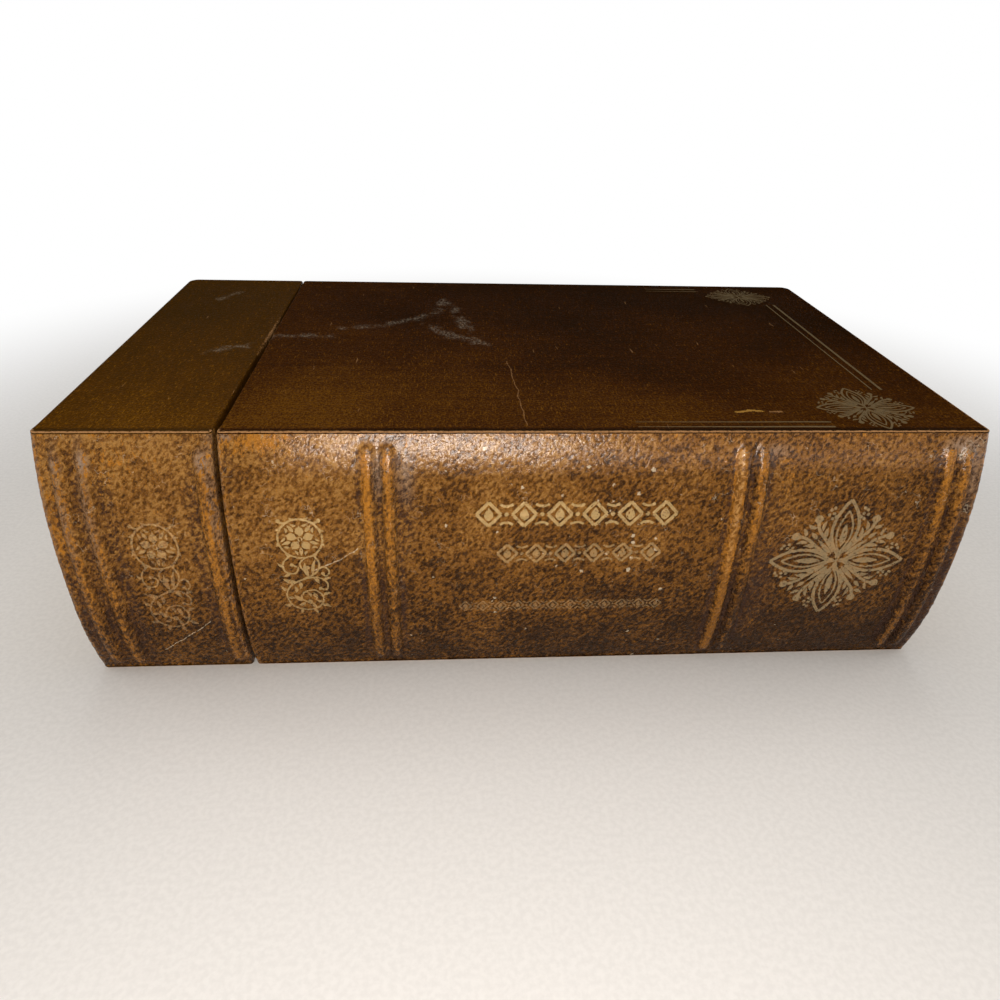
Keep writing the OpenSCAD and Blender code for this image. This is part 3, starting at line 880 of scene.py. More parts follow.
@dataclass
class SpineLeather:
    """The leather on one half's spine, drawn over its cords and turned in at both ends."""

    half: Half
    cords: tuple[Cord, ...]
    low_x: float
    high_x: float
    low_roll: float
    high_roll: float
    # Patches rubbed away from the cords, patches of grime with painted shade, and patches of painted
    # sheen that stand in for highlights
    rubs: tuple[Patch, ...]
    grime_and_shade_patches: tuple[Patch, ...]
    painted_sheen_patches: tuple[Patch, ...]
    pebble_mm: float = 1.9
    pebble_depth: float = 0.34
    # The least of that depth, where the leather is stretched flat over the shoulder
    flat_share: float = 0.15
    # A cord shapes the leather this far to both sides
    cord_reach: float = 9.0
    # Level from which the cords sink into the shoulder, over how much, and how far
    tip_z: float = 97.0
    tip_mm: float = 8.0
    tip_sink: float = 0.24
    # Share of a cord's lift that shows through the leather, and where the leather's back lies
    shown: float = 0.955
    back: float = 1.1
    # Where the leather dips beside a cord, how wide the dip is and how deep
    dip_off: float = 4.1
    dip_wide: float = 1.3
    dip_depth: float = 0.35
    # Where a dark line of grime and painted shade runs beside a rubbed band, and how wide it is, in radii
    # of the cord
    dark_line_off: float = 1.12
    dark_line_wide: float = 0.3
    # Shares of the leather's way from the wall to its turned end
    straight: tuple[float, ...] = (0.35, 0.7)
    turns: int = 6
    step_x: float = 0.62
    step_z: float = 0.65

    def bare(self, z: float) -> float:
        """Returns Y of the round of the spine at a level, without cords."""
        along = abs(2 * z / BOOK.height - 1)
        return -BOOK.swell * (1 - along**BOOK.swell_power)

    def from_edge(self, z: float) -> float:
        """Returns how far a level is from the nearer long edge."""
        return BOOK.height / 2 - abs(z - BOOK.height / 2)

    def grain(self, x: float, z: float) -> float:
        """Returns the pebbled grain, 0 in its creases and 1 on its tops."""
        place = Vector((x, 0.8 * z, 0.0)) / self.pebble_mm
        drift = noise.noise_vector(place * 0.6) * 0.55
        near = noise.voronoi(place + drift)[0]
        return min(1.0, (near[1] - near[0]) * 2.4)

    def patches(self, spots: Sequence[Patch], x: float, z: float) -> float:
        """Returns the strongest of the patches at a place."""
        best, edge = 0.0, 1.5
        for spot_x, spot_z, wide, tall, share in spots:
            away = math.hypot((x - spot_x) / wide, (z - spot_z) / tall)
            best = max(best, share * max(0.0, edge - away) / edge)
        return best

    def face(self, x: float, z: float) -> tuple[float, float, float, float]:
        """Returns Y of the leather's face, and its worn, hollow and grain values, at a place."""
        lift, dip, worn, outline = 0.0, 0.0, 0.0, 0.0
        near_tip = held((z - self.tip_z) / self.tip_mm)
        for cord in self.cords:
            if abs(x - cord.x) > self.cord_reach:
                continue
            cap, away = cord.cap(x, z)
            lift = max(lift, smooth_max(cap, 0.0, cord.fillet + 2.2 * near_tip))
            wide = cord.radius / Cord.radius
            inside = held(min(z - cord.low, cord.high - z) / 6)
            beside = abs(x - cord.x) / wide
            trough = math.exp(-(((beside - self.dip_off) / self.dip_wide) ** 2))
            dip = max(dip, trough * wide * inside)
            off = cord.cap(x - cord.lean * z / cord.high, z)[1] if cord.lean else away
            crest = max(0.0, 1 - (off / (0.92 * cord.radius)) ** 2)
            worn = max(worn, crest * cord.rubbed(z))
            beyond = (off / cord.radius - self.dark_line_off) / self.dark_line_wide
            outline = max(outline, math.exp(-(beyond**2)) * min(1.0, cord.rubbed(z)) * 0.75)
        lift *= 1 - self.tip_sink * near_tip
        dip *= 1 - min(1.0, lift / 1.5)
        grain = self.grain(x, z)
        y = self.bare(z) - lift * self.shown + self.dip_depth * dip
        y += unevenness(x, y, z, 0.16) * held(self.from_edge(z) / 6)
        over_shoulder = min(1.0, max(self.flat_share, (108 - z) / 7))
        y += self.pebble_depth * (1 - grain) * (1 - 0.5 * min(1.0, lift)) * over_shoulder
        worn = max(worn, self.patches(self.rubs, x, z))
        # The hollow value carries grime and painted shade
        hollow = max(dip * 0.75, outline, self.patches(self.grime_and_shade_patches, x, z))
        return y, worn, hollow, grain

    def rolled_edge(self, x: float, z: float) -> float:
        """Returns extra wear from 0 to 1 near the turned ends and the long edges."""
        side = max(0.0, 1 - min(x - self.low_x, self.high_x - x) / 2.5)
        long = max(0.0, 1 - self.from_edge(z) / 3.0)
        return max(0.75 * side, 0.5 * long)

    def ring(self, z: float) -> list[tuple[Vector, float, float, float, float]]:
        """Returns the leather's outline at a level: each point and its four values."""
        wall, low_x, high_x = BOOK.spine_wall, self.low_x, self.high_x
        low_y = self.face(low_x + self.low_roll, z)[0] + self.low_roll
        high_y = self.face(high_x - self.high_roll, z)[0] + self.high_roll
        # Worn, hollow, grain and painted sheen on the flat of the ends and on their turns; the turns take
        # some painted sheen, and the far turn grime with painted shade
        flat, low_turn, high_turn = (0.1, 0.3, 0.6, 0.0), (0.45, 0.2, 0.6, 0.25), (0.35, 0.4, 0.6, 0.25)
        out = [(low_x, wall + (low_y - wall) * share, flat) for share in (0.0, *self.straight)]
        for turn in range(self.turns):
            angle = math.radians(90 / self.turns * turn)
            x = low_x + self.low_roll * (1 - math.cos(angle))
            out.append((x, low_y - self.low_roll * math.sin(angle), low_turn))
        for x in spaced(low_x + self.low_roll, high_x - self.high_roll, self.step_x):
            y, worn, hollow, grain = self.face(x, z)
            worn, painted_sheen = max(worn, self.rolled_edge(x, z)), self.patches(self.painted_sheen_patches, x, z)
            out.append((x, y, (worn, hollow, grain, painted_sheen)))
        for turn in range(1, self.turns + 1):
            angle = math.radians(90 / self.turns * turn)
            x = high_x - self.high_roll * (1 - math.sin(angle))
            out.append((x, high_y - self.high_roll * math.cos(angle), high_turn))
        out += [(high_x, high_y + (wall - high_y) * share, flat) for share in (*self.straight, 1.0)]
        inner_y, low_in, high_in = self.bare(z) + self.back, low_x + BOOK.leather, high_x - BOOK.leather
        for x, y in ((high_in, wall), (high_in, inner_y), (low_in, inner_y), (low_in, wall)):
            out.append((x, y, (0.0, 0.0, 0.5, 0.0)))
        return [(Vector((x, y, z)), *values) for x, y, values in out]

    def build(self) -> bpy.types.Object:
        """Builds the leather and returns its object."""
        skin = Skin(marks={"worn": [], "hollow": [], "grain": [], "painted_sheen": []})
        rings = []
        for z in spaced(BOOK.leather, BOOK.height - BOOK.leather, self.step_z):
            outline = self.ring(z)
            rings.append([entry[0] for entry in outline])
            for mark, values in zip(skin.marks.values(), list(zip(*outline))[1:]):
                mark.extend(values)
        skin.loft(rings)
        made = skin.piece(f"{self.half.value}_spine_skin", SPINE_SKIN, self.half, "spine_leather")
        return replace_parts(made, f"{self.half.value}_spine_leather")


@dataclass
class CoverLeather:
    """The leather on one cover of one half, drawn over the board and turned in beneath."""

    half: Half
    cover: Cover
    finish: Finish
    roll: float = 0.8
    lip_roll: float = 0.45
    step: float = 1.5
    # How far the leather has shrunk back from the seam near the spine
    shrunk: float = 0.4
    # Radii of the corner at the spine's outer end and of the two at the seam
    end_corner: float = 2.5
    seam_corner: float = 1.6

    def sink(self, x: float, y: float) -> float:
        """Returns how far the leather's face lies under the cover's top level at a place."""
        rim, outer = self.rim_x(y), BOOK.outer_x(self.half)
        inner = min(abs(x - rim), abs(x - outer), y - BOOK.lip_y, BOOK.depth - y) - self.roll
        return (0.13 + unevenness(x, y, 40.0, 0.14)) * held(inner / 4)

    def rubbed(self, x: float, y: float) -> float:
        """Returns how much the edge is rubbed at a place on the outline, from 0 to 1."""
        on_lid = self.half is Half.LID
        at_lip, at_seam, at_tail = y < 2, abs(x - self.rim_x(y)) < 1.5, not on_lid and x > 350
        if at_lip:
            return 0.9
        if at_seam:
            middle = 1 - held(abs(y - 112) / 38)
            return 0.4 + (0.3 if on_lid else 0.1) * middle
        if at_tail:
            return 0.95 - 0.25 * held(y / 150)
        return 0.5 if on_lid else 0.6

    def rim_x(self, y: float) -> float:
        """Returns X of the leather's rim at the seam; it has shrunk back near the spine."""
        back = self.shrunk * held((120 - y) / 50) * held((y - BOOK.lip_y) / 6)
        return BOOK.rim_x(self.half, y) + (back if self.half is Half.BODY else -back)

    def turned(self, x: float, y: float, z: float) -> Vector:
        """Returns a point of the front cover's leather, turned over for the back cover."""
        return Vector((x, y, z if self.cover is Cover.FRONT else BOOK.height - z))

    def corner_radii(self) -> dict[tuple[int, int], float]:
        """Returns the radius of each corner, by its side in X and in Y."""
        outer, inner = (1, 0) if self.half is Half.BODY else (0, 1)
        radii = {(outer, 0): self.end_corner, (outer, 1): BOOK.corner}
        return radii | {(inner, 0): self.seam_corner, (inner, 1): self.seam_corner}

    def edge_point(self, u: float, v: float, inset: float) -> Point:
        """Returns a point of the leather's plan.

        Args:
            u: Place between the two sides in X, from 0 to 1.
            v: Place between the spine's edge and the fore-edge, from 0 to 1.
            inset: How far the plan's outline is drawn in here.

        Returns:
            X and Y in millimetres.
        """
        y0, y1 = BOOK.lip_y + inset, BOOK.depth - inset
        y = y0 + (y1 - y0) * v
        outer, rim = BOOK.outer_x(self.half), self.rim_x(y)
        x0, x1 = min(outer, rim) + inset, max(outer, rim) - inset
        x = x0 + (x1 - x0) * u
        for (side_x, side_y), radius in self.corner_radii().items():
            reach = max(0.2, radius - inset)
            way_x, way_y = (1 if side_x else -1), (1 if side_y else -1)
            centre_x = x1 - reach if side_x else x0 + reach
            centre_y = y1 - reach if side_y else y0 + reach
            a = min(1.0, (x - centre_x) / reach * way_x)
            b = min(1.0, (y - centre_y) / reach * way_y)
            if a > 0 and b > 0:
                a, b = a * math.sqrt(1 - b * b / 2), b * math.sqrt(1 - a * a / 2)
                return centre_x + a * reach * way_x, centre_y + b * reach * way_y
        return x, y

    def shares(self, length: float, low: float, high: float) -> list[float]:
        """Returns places from 0 to 1 along a side, closer together inside its corners."""
        places = spaced(0.0, low, low / 4)
        places += spaced(low, length - high, self.step)[1:]
        places += spaced(length - high, length, high / 4)[1:]
        return [p / length for p in places]

    def profile(self, y: float, on_rim: bool, on_fore: bool) -> list[Point]:
        """Returns the edge's section at a place: how far in each point lies, and its level.

        Args:
            y: Y of the place on the outline.
            on_rim: Whether it lies on the side at the seam.
            on_fore: Whether it lies on the fore-edge side.

        Returns:
            Seven points from the top down and in to the board.
        """
        top, thick, r = BOOK.height, BOOK.leather, self.roll
        if y < BOOK.spine_wall:
            r, low = self.lip_roll, top - thick
            lip = [(0.13 * r, top - 0.5 * r), (0.0, top - r)]
            return lip + [(inset, low) for inset in (0.0, 0.2, 0.4, 0.6, thick)]
        turn = [(ROUND * r, top - ROUND * r), (0.0, top - r)]
        if on_rim:
            low = top - BOOK.board - thick
            foot = [(0.0, low + 0.4), (0.1, low), (thick, low), (thick, low + 1)]
            return turn + foot + [(thick, top - thick)]
        under = top - BOOK.board - 2 * thick
        overhang = BOOK.fore_overhang if on_fore else BOOK.end_overhang
        foot = [(0.0, under + r), (ROUND * r, under + ROUND * r), (r, under), (overhang, under)]
        return turn + foot + [(thick, top - thick)]

    def build(self) -> bpy.types.Object:
        """Builds the leather and returns its object."""
        radii = self.corner_radii()
        wide = abs(BOOK.outer_x(self.half) - BOOK.rim_x(self.half, BOOK.depth / 2)) - 2 * self.roll
        deep = BOOK.depth - BOOK.lip_y - 2 * self.roll
        low_x = max(radii[(0, 0)], radii[(0, 1)]) - self.roll
        high_x = max(radii[(1, 0)], radii[(1, 1)]) - self.roll
        us = self.shares(wide, low_x, high_x)
        vs = self.shares(deep, radii[(0, 0)] - self.roll + 1, BOOK.corner - self.roll)
        skin, face, worn = Skin(), [], []
        plan = [(u, v) for v in vs for u in us]
        for u, v in plan:
            x, y = self.edge_point(u, v, self.roll)
            inner = min(u * wide, (1 - u) * wide, v * deep, (1 - v) * deep)
            face.append(self.turned(x, y, BOOK.height - self.sink(x, y)))
            worn.append(max(0.0, 1 - inner / 0.9) * self.rubbed(x, y) * 0.8)
        border = skin.sheet(face, len(us))
        side = [plan[k] for k in border]
        rim_u = us[0] if self.half is Half.BODY else us[-1]
        sections = [
            self.profile(self.edge_point(u, v, 0.0)[1], u == rim_u, v == vs[-1]) for u, v in side
        ]
        rings = []
        for k, level_points in enumerate(zip(*sections)):
            rings.append([])
            for (u, v), (inset, level) in zip(side, level_points):
                x, y = self.edge_point(u, v, inset)
                rings[-1].append(self.turned(x, y, level))
                # Only the top of the edge is rubbed; at the spine that is the first row alone
                shown = k < 1 or (k < 2 and y > 2)
                worn.append(self.rubbed(x, y) if shown else 0.25)
        skin.drape(border, rings)
        skin.marks["worn"] = worn
        name = f"{self.half.value}_{self.cover.value}"
        made = skin.piece(f"{name}_skin", self.finish, self.half, "cover_leather")
        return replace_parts(made, f"{name}_leather")


@dataclass
class PagePanel:
    """A panel combed into page edges, on the fore-edge or on an outer end."""

    node: str
    half: Half
    along_x: bool
    sheet: float = 1.05
    groove: float = 0.5
    low: float = 5.8
    high: float = 108.2
    step: float = 5.0

    def section(self) -> list[Point]:
        """Returns levels and depths of the combed face, from the bottom up."""
        count = round((self.high - self.low) / self.sheet)
        pitch = (self.high - self.low) / count
        levels = []
        for i in range(count):
            # Each sheet leans and stands back a little differently
            base = self.low + i * pitch
            lean = 0.12 * noise.noise(Vector((i * 0.71, 4.4, 0.0)))
            depth = 0.16 + 0.16 * noise.noise(Vector((i * 1.37, 0.0, 2.2)))
            levels += [
                (base + 0.02, self.groove),
                (base + (0.24 + lean) * pitch, depth),
                (base + (0.76 + lean) * pitch, depth * 0.7),
            ]
        return levels + [(self.high, self.groove)]

    def point(self, place: float, face: float, z: float) -> Vector:
        """Returns the point at a place along the panel, on a face of it and at a level."""
        return Vector((place, face, z) if self.along_x else (face, place, z))

    def build(self) -> bpy.types.Object:
        """Builds the panel and returns its object."""
        low, high = solid_box(self.node)
        section = self.section()
        along, across = (0, 1) if self.along_x else (1, 0)
        outward = 1 if self.along_x or self.half is Half.BODY else -1
        outer, inner = (high, low) if outward > 0 else (low, high)
        rings, hollow = [], []
        for place in spaced(low[along], high[along], self.step):
            ring = []
            for i, (level, depth) in enumerate(section):
                sway = 1 + 0.5 * noise.noise(Vector((place / 23.0, i * 0.37, 0.5)))
                face = outer[across] - outward * min(0.7, depth * sway)
                ring.append(self.point(place, face, min(max(level, low.z), high.z)))
                hollow.append(1.0 if depth >= self.groove else 0.0)
            ring += [self.point(place, inner[across], z) for z in (high.z, low.z)]
            hollow += [0.0, 0.0]
            rings.append(ring)
        skin = Skin(marks={"hollow": hollow})
        skin.loft(rings)
        made = skin.piece(self.node.replace("pages", "page_edges"), PAGES, self.half, "pages")
        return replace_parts(made, self.node)


@dataclass
class LiningPanel:
    """A card covered with felt and glued to one wall, its free face soft at the edges."""

    node: str
    half: Half
    # Which way the free face looks: an axis number and a sign
    axis: int
    sign: int
    # How wide the soft edge is, the share of the thickness at the very edge, and places near it
    soft_mm: float = 1.3
    edge_share: float = 0.35
    edge: tuple[float, ...] = (0.0, 0.15, 0.45, 0.9, 1.6)
    step: float = 4.0

    def places(self, size: float) -> list[float]:
        """Returns places along a side of the face, closer together near its ends."""
        ends = [size - e for e in reversed(self.edge)]
        return [*self.edge, *spaced(3.0, size - 3.0, self.step), *ends]

    def build(self) -> bpy.types.Object:
        """Builds the panel and returns its object."""
        low, high = solid_box(self.node)
        first, second = (i for i in range(3) if i != self.axis)
        wide, tall = self.places(high[first] - low[first]), self.places(high[second] - low[second])
        thick = high[self.axis] - low[self.axis]
        back = low[self.axis] if self.sign > 0 else high[self.axis]
        face = []
        for b in tall:
            for a in wide:
                soft = min(1.0, min(a, wide[-1] - a, b, tall[-1] - b) / self.soft_mm)
                round_edge = math.sqrt(soft * (2 - soft))
                rise = thick * (self.edge_share + (1 - self.edge_share) * round_edge)
                point = Vector((0.0, 0.0, 0.0))
                point[first], point[second] = low[first] + a, low[second] + b
                rise -= unevenness(point.x, point.y, point.z, 0.2) * soft
                point[self.axis] = back + self.sign * rise
                face.append(point)
        skin = Skin()
        border = skin.sheet(face, len(wide))
        foot = [face[k].copy() for k in border]
        for point in foot:
            point[self.axis] = back
        skin.drape(border, [foot])
        if self.half is Half.LID and self.axis != 0:
            # The panel's end follows the slant of the lid's rim
            for point in skin.points:
                reach = (point.x - low.x) / (high.x - low.x)
                rim = BOOK.rim_x(Half.LID, point.y) - BOOK.rim_x(Half.LID, BOOK.depth)
                point.x += max(0.0, reach) * min(0.0, rim + 0.02)
        made = skin.piece(self.node.replace("lining", "felt"), FELT, self.half, "lining")
        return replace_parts(made, self.node)


@dataclass
class Tooling:
    """Gilt ornament on one surface: every line, leaf and bead is a thin ribbon of foil."""

    name: str
    half: Half
    finish: Finish
    # Gives the point on the leather from two places on it and a lift off it
    lay: Callable[[float, float, float], Vector]
    skin: Skin = field(default_factory=lambda: Skin(marks={"grain": []}))
    # The foil's lift off the leather; ribbons lie a layer apart, in rounds of so many layers, so
    # that two that cross seldom share a level
    lift: float = 0.06
    layer: float = 0.005
    layers: int = 12
    # Level of the ribbon's underside, in the leather
    root: float = -0.1
    # Least half width of a ribbon, and the steps along ribbons and beads
    least: float = 0.03
    step: float = 0.55
    bead_step: float = 0.3
    count: int = 0

    def ribbon(self, line: Sequence[Point], width: float, taper: Taper = Taper.EVEN) -> None:
        """Lays a ribbon of foil.

        Args:
            line: Points of its middle line.
            width: Its greatest width.
            taper: How the width changes along it.
        """
        line = self.resampled(line, self.bead_step if taper is Taper.BEAD else self.step)
        self.count += 1
        lift = self.lift + self.layer * (self.count % self.layers)
        rings = []
        for i, (u, v) in enumerate(line):
            a, b = line[max(0, i - 1)], line[min(len(line) - 1, i + 1)]
            length = math.hypot(b[0] - a[0], b[1] - a[1]) or 1.0
            nu, nv = -(b[1] - a[1]) / length, (b[0] - a[0]) / length
            half = max(self.least, width / 2 * self.fullness(i / (len(line) - 1), taper))
            ring = [(share, lift) for share in (-1.0, -0.5, 0.0, 0.5, 1.0)]
            ring += [(1.0, self.root), (-1.0, self.root)]
            rings.append([self.lay(u + nu * half * s, v + nv * half * s, up) for s, up in ring])
            self.skin.marks["grain"].extend([0.6] * len(ring))
        self.skin.loft(rings)

    def fullness(self, share: float, taper: Taper) -> float:
        """Returns the share of the full width at a place from 0 to 1 along a ribbon."""
        if taper is Taper.LEAF:
            return math.sin(math.pi * share**0.8)
        if taper is Taper.TAIL:
            return max(0.1, 1 - share) ** 0.7
        if taper is Taper.BEAD:
            return math.sqrt(max(0.0, 1 - (2 * share - 1) ** 2))
        return 1.0

    def resampled(self, line: Sequence[Point], step: float) -> list[Point]:
        """Returns the same line with points no further apart than step."""
        out = [line[0]]
        for a, b in zip(line, line[1:]):
            parts = max(1, math.ceil(math.dist(a, b) / step))
            out += [
                (a[0] + (b[0] - a[0]) * k / parts, a[1] + (b[1] - a[1]) * k / parts)
                for k in range(1, parts + 1)
            ]
        return out if len(out) > 2 else self.resampled(line, step / 3)

    def bead(self, u: float, v: float, radius: float) -> None:
        """Lays a round dot of foil."""
        self.ribbon([(u - radius, v), (u, v), (u + radius, v)], 2 * radius, Taper.BEAD)

    def build(self) -> bpy.types.Object:
        """Makes the object of all the ribbons laid so far."""
        return self.skin.piece(self.name, self.finish, self.half)


@dataclass(frozen=True)
class Pattern:
    """Lays the parts of an ornament, from its own plan, where it stands on the leather."""

    gilt: Tooling
    centre: Point
    scale: Point
    turn: float = 0.0
    # How wide its lines are, as a share of their usual width
    weight: float = 1.0

    def at(self, x: float, y: float) -> Point:
        """Returns a point of the plan on the surface."""
        cos, sin = math.cos(self.turn), math.sin(self.turn)
        return (
            self.centre[0] + self.scale[0] * (x * cos - y * sin),
            self.centre[1] + self.scale[1] * (x * sin + y * cos),
        )

    def line(self, points: Iterable[Point], width: float, taper: Taper = Taper.EVEN) -> None:
        """Lays a ribbon along points of the plan."""
        self.gilt.ribbon([self.at(*p) for p in points], width * self.weight, taper)

    def leaf(self, points: Iterable[Point], width: float) -> None:
        """Lays a leaf along points of the plan."""
        self.line(points, width, Taper.LEAF)

    def bead(self, point: Point, radius: float) -> None:
        """Lays a bead at a point of the plan."""
        self.gilt.bead(*self.at(*point), radius * self.weight)


def arc(centre: Point, radius: float, start: float, end: float) -> list[Point]:
    """Returns an arc from one angle in degrees to another, a point about every eight degrees."""
    count = max(4, math.ceil(abs(end - start) / 8))
    return [polar(centre, radius, start + (end - start) * i / count) for i in range(count + 1)]


def bow(a: Point, b: Point, belly: float) -> list[Point]:
    """Returns a bowed line from a to b, whose middle stands out to the left by belly."""
    nx, ny = -(b[1] - a[1]), b[0] - a[0]
    length = math.hypot(nx, ny)
    out = []
    for i in range(17):
        t = i / 16
        side = 4 * t * (1 - t) * belly / length
        out.append((a[0] + (b[0] - a[0]) * t + nx * side, a[1] + (b[1] - a[1]) * t + ny * side))
    return out


def flow(points: Sequence[Point]) -> list[Point]:
    """Returns a smooth curve through the points."""
    out = []
    for i in range(len(points) - 1):
        a, b, c, d = (points[min(max(j, 0), len(points) - 1)] for j in range(i - 1, i + 3))
        for k in range(8):
            t = k / 8
            weights = (
                -0.5 * t + t**2 - 0.5 * t**3,
                1 - 2.5 * t**2 + 1.5 * t**3,
                0.5 * t + 2 * t**2 - 1.5 * t**3,
                -0.5 * t**2 + 0.5 * t**3,
            )
            out.append(tuple(sum(w * p[i] for w, p in zip(weights, (a, b, c, d))) for i in (0, 1)))
    return out + [points[-1]]


def polar(centre: Point, radius: float, angle: float) -> Point:
    """Returns the point at a radius and an angle in degrees from a centre."""
    a = math.radians(angle)
    return centre[0] + radius * math.cos(a), centre[1] + radius * math.sin(a)


def flower(put: Pattern, heart: Point) -> None:
    """Lays a five-petalled flower in a ring with leaves round it.

    Args:
        put: Where the ornament goes.
        heart: The flower's middle on the ornament's plan.
    """
    put.line(arc(heart, 8.7, 100, 460), 0.8)
    for k in range(5):
        angle = 90 + 72 * k
        put.bead(polar(heart, 3.5, angle), 1.7)
        put.leaf([polar(heart, 1.2, angle), polar(heart, 5.9, angle)], 2.2)
        put.leaf([polar(heart, 3.9, angle + 36), polar(heart, 7.6, angle + 36)], 1.5)
        for side in (-1, 1):
            ends = polar(heart, 6.0, angle + 10 * side), polar(heart, 7.7, angle + 25 * side)
            put.leaf(bow(*ends, 0.4 * side), 1.0)
    put.line(arc(heart, 0.75, 0, 360), 0.45)
    for angle, turn in ((130, 1), (50, -1)):
        tip = polar(heart, 11.2, angle + 4 * turn)
        put.line(bow(polar(heart, 8.7, angle - 14 * turn), tip, 0.9 * turn), 0.9)
        put.bead(tip, 0.85)
    for angle, turn in ((142, 1), (186, 1), (222, 1), (34, -1), (-8, -1), (-46, -1), (98, 1), (82, -1)):
        ends = polar(heart, 8.8, angle), polar(heart, 10.3, angle + 13 * turn)
        put.leaf(bow(*ends, 0.5 * turn), 1.15)


def flower_vine(put: Pattern) -> None:
    """Lays a flower over a vine that winds into a curl of leaves, where the pattern says."""
    flower(put, (-0.2, 12.6))
    stem = [(4.2, 5.3), (6.3, 1.2), (4.6, -3.4), (-0.6, -6.4), (-5.8, -9.4), (-8.2, -14.2)]
    stem += [(-6.4, -19.8), (-1.0, -22.4), (4.6, -20.8), (6.6, -16.0), (3.6, -12.2), (-0.8, -13.0)]
    put.line(flow(stem + [(-2.4, -16.4), (0.4, -18.6)]), 0.75)
    put.bead((0.9, -18.2), 1.1)
    for curl in (
        ((-4.4, 5.4), (-7.8, 1.8), (-7.4, -2.6), (-3.8, -3.6), (-2.2, -0.8), (-4.6, 0.6)),
        ((-0.6, -6.4), (5.0, -5.6), (8.6, -8.2), (8.4, -11.6), (5.8, -11.2)),
        ((5.7, -1.2), (8.6, -0.6), (10.0, -3.0), (8.6, -5.0), (7.4, -3.8)),
        ((0.8, 3.9), (-1.4, 1.2), (-0.2, -2.0), (1.6, -0.8)),
    ):
        put.line(flow(curl), 0.7)
        put.bead(curl[-1], 0.8)
    # Where each leaf starts and ends, and its width
    for start, end, width in (
        ((1.6, -5.0), (0.6, 1.6), 1.9),
        ((3.4, -4.4), (5.0, 3.4), 1.4),
        ((-3.4, -8.0), (-9.0, -6.2), 1.9),
        ((-7.4, -12.0), (-10.0, -9.6), 1.3),
        ((-2.4, -7.6), (-2.6, -11.6), 1.5),
        ((-6.6, -19.2), (-9.8, -19.6), 1.4),
        ((5.6, -19.8), (9.4, -21.4), 1.6),
        ((6.7, -15.0), (9.8, -13.6), 1.4),
        ((-1.6, -17.4), (-5.2, -14.2), 2.0),
        ((-1.2, -18.4), (-3.8, -19.6), 1.5),
        ((2.4, -13.2), (3.6, -17.4), 1.7),
        ((0.2, -13.2), (1.4, -15.8), 1.2),
        ((-5.6, -2.9), (-8.6, -5.0), 1.4),
        ((-7.7, 0.0), (-10.2, 1.6), 1.2),
        ((3.2, -5.6), (5.6, -9.0), 1.5),
        ((7.6, -7.0), (10.6, -6.2), 1.3),
        ((-4.6, -10.0), (-4.4, -13.4), 1.5),
        ((-7.9, -16.2), (-5.0, -16.4), 1.4),
        ((-3.2, -21.9), (-3.6, -24.6), 1.2),
        ((1.8, -22.2), (3.4, -25.0), 1.3),
        ((3.4, -21.2), (2.2, -18.6), 1.5),
        ((6.2, -17.6), (3.8, -17.2), 1.3),
    ):
        put.leaf(bow(start, end, 0.5), width)


def aslant(points: Iterable[Point]) -> list[Point]:
    """Returns the points turned by half a right angle."""
    cos, sin = math.cos(math.pi / 4), math.sin(math.pi / 4)
    return [(x * cos - y * sin, x * sin + y * cos) for x, y in points]


def spray(put: Pattern) -> None:
    """Lays a double-curled spray between two petals."""
    put.leaf(aslant([(4.0, 0), (15.0, 0)]), 1.9)
    put.leaf(aslant([(15.4, 0), (19.6, 0)]), 1.8)
    for side in (-1, 1):
        arm = ((5.0, 1.4), (12.0, 2.3), (18.0, 3.0), (22.6, 5.2))
        put.line(aslant(flow([(x, side * y) for x, y in arm])), 1.35)
        put.bead(*aslant([(22.6, side * 5.6)]), 1.8)
        for start, end, width in (
            ((9.6, 2.9), (12.4, 5.3), 1.5),
            ((12.8, 3.2), (16.4, 6.4), 1.7),
            ((16.6, 3.8), (19.4, 7.8), 1.5),
            ((19.8, 2.9), (23.6, 1.3), 1.6),
        ):
            ends = [(x, side * y) for x, y in (start, end)]
            put.leaf(aslant(bow(*ends, side * -0.6)), width)
        beads = ((21.2, 27), (23.2, 29.5), (23.4, 24.5), (25.2, 27.5), (21.6, 31.0), (25.6, 31.0))
        for radius, angle in beads:
            put.bead(*aslant([polar((0.0, 0.0), radius, side * angle)]), 0.72)


def rosette(gilt: Tooling, centre: Point, scale: Point, weight: float = 1.0) -> None:
    """Lays four pointed petals with double-curled sprays between them.

    Args:
        gilt: Tooling that takes the foil.
        centre: The rosette's middle.
        scale: Its scale in both directions.
        weight: How wide its lines are, as a share of their usual width.
    """
    for quarter in range(4):
        put = Pattern(gilt, centre, scale, math.pi / 2 * quarter, weight)
        for side in (-1, 1):
            put.line(bow((2.6, 0), (28.4, 0), side * 5.4), 1.35)
            put.line(bow((4.2, 0), (23.5, 0), side * 3.1), 0.8)
        put.leaf([(7.0, 0), (18.5, 0)], 2.7)
        put.leaf([(0.6, 0), (4.8, 0)], 2.2)
        spray(put)
    gilt.bead(*centre, 0.8 * weight)


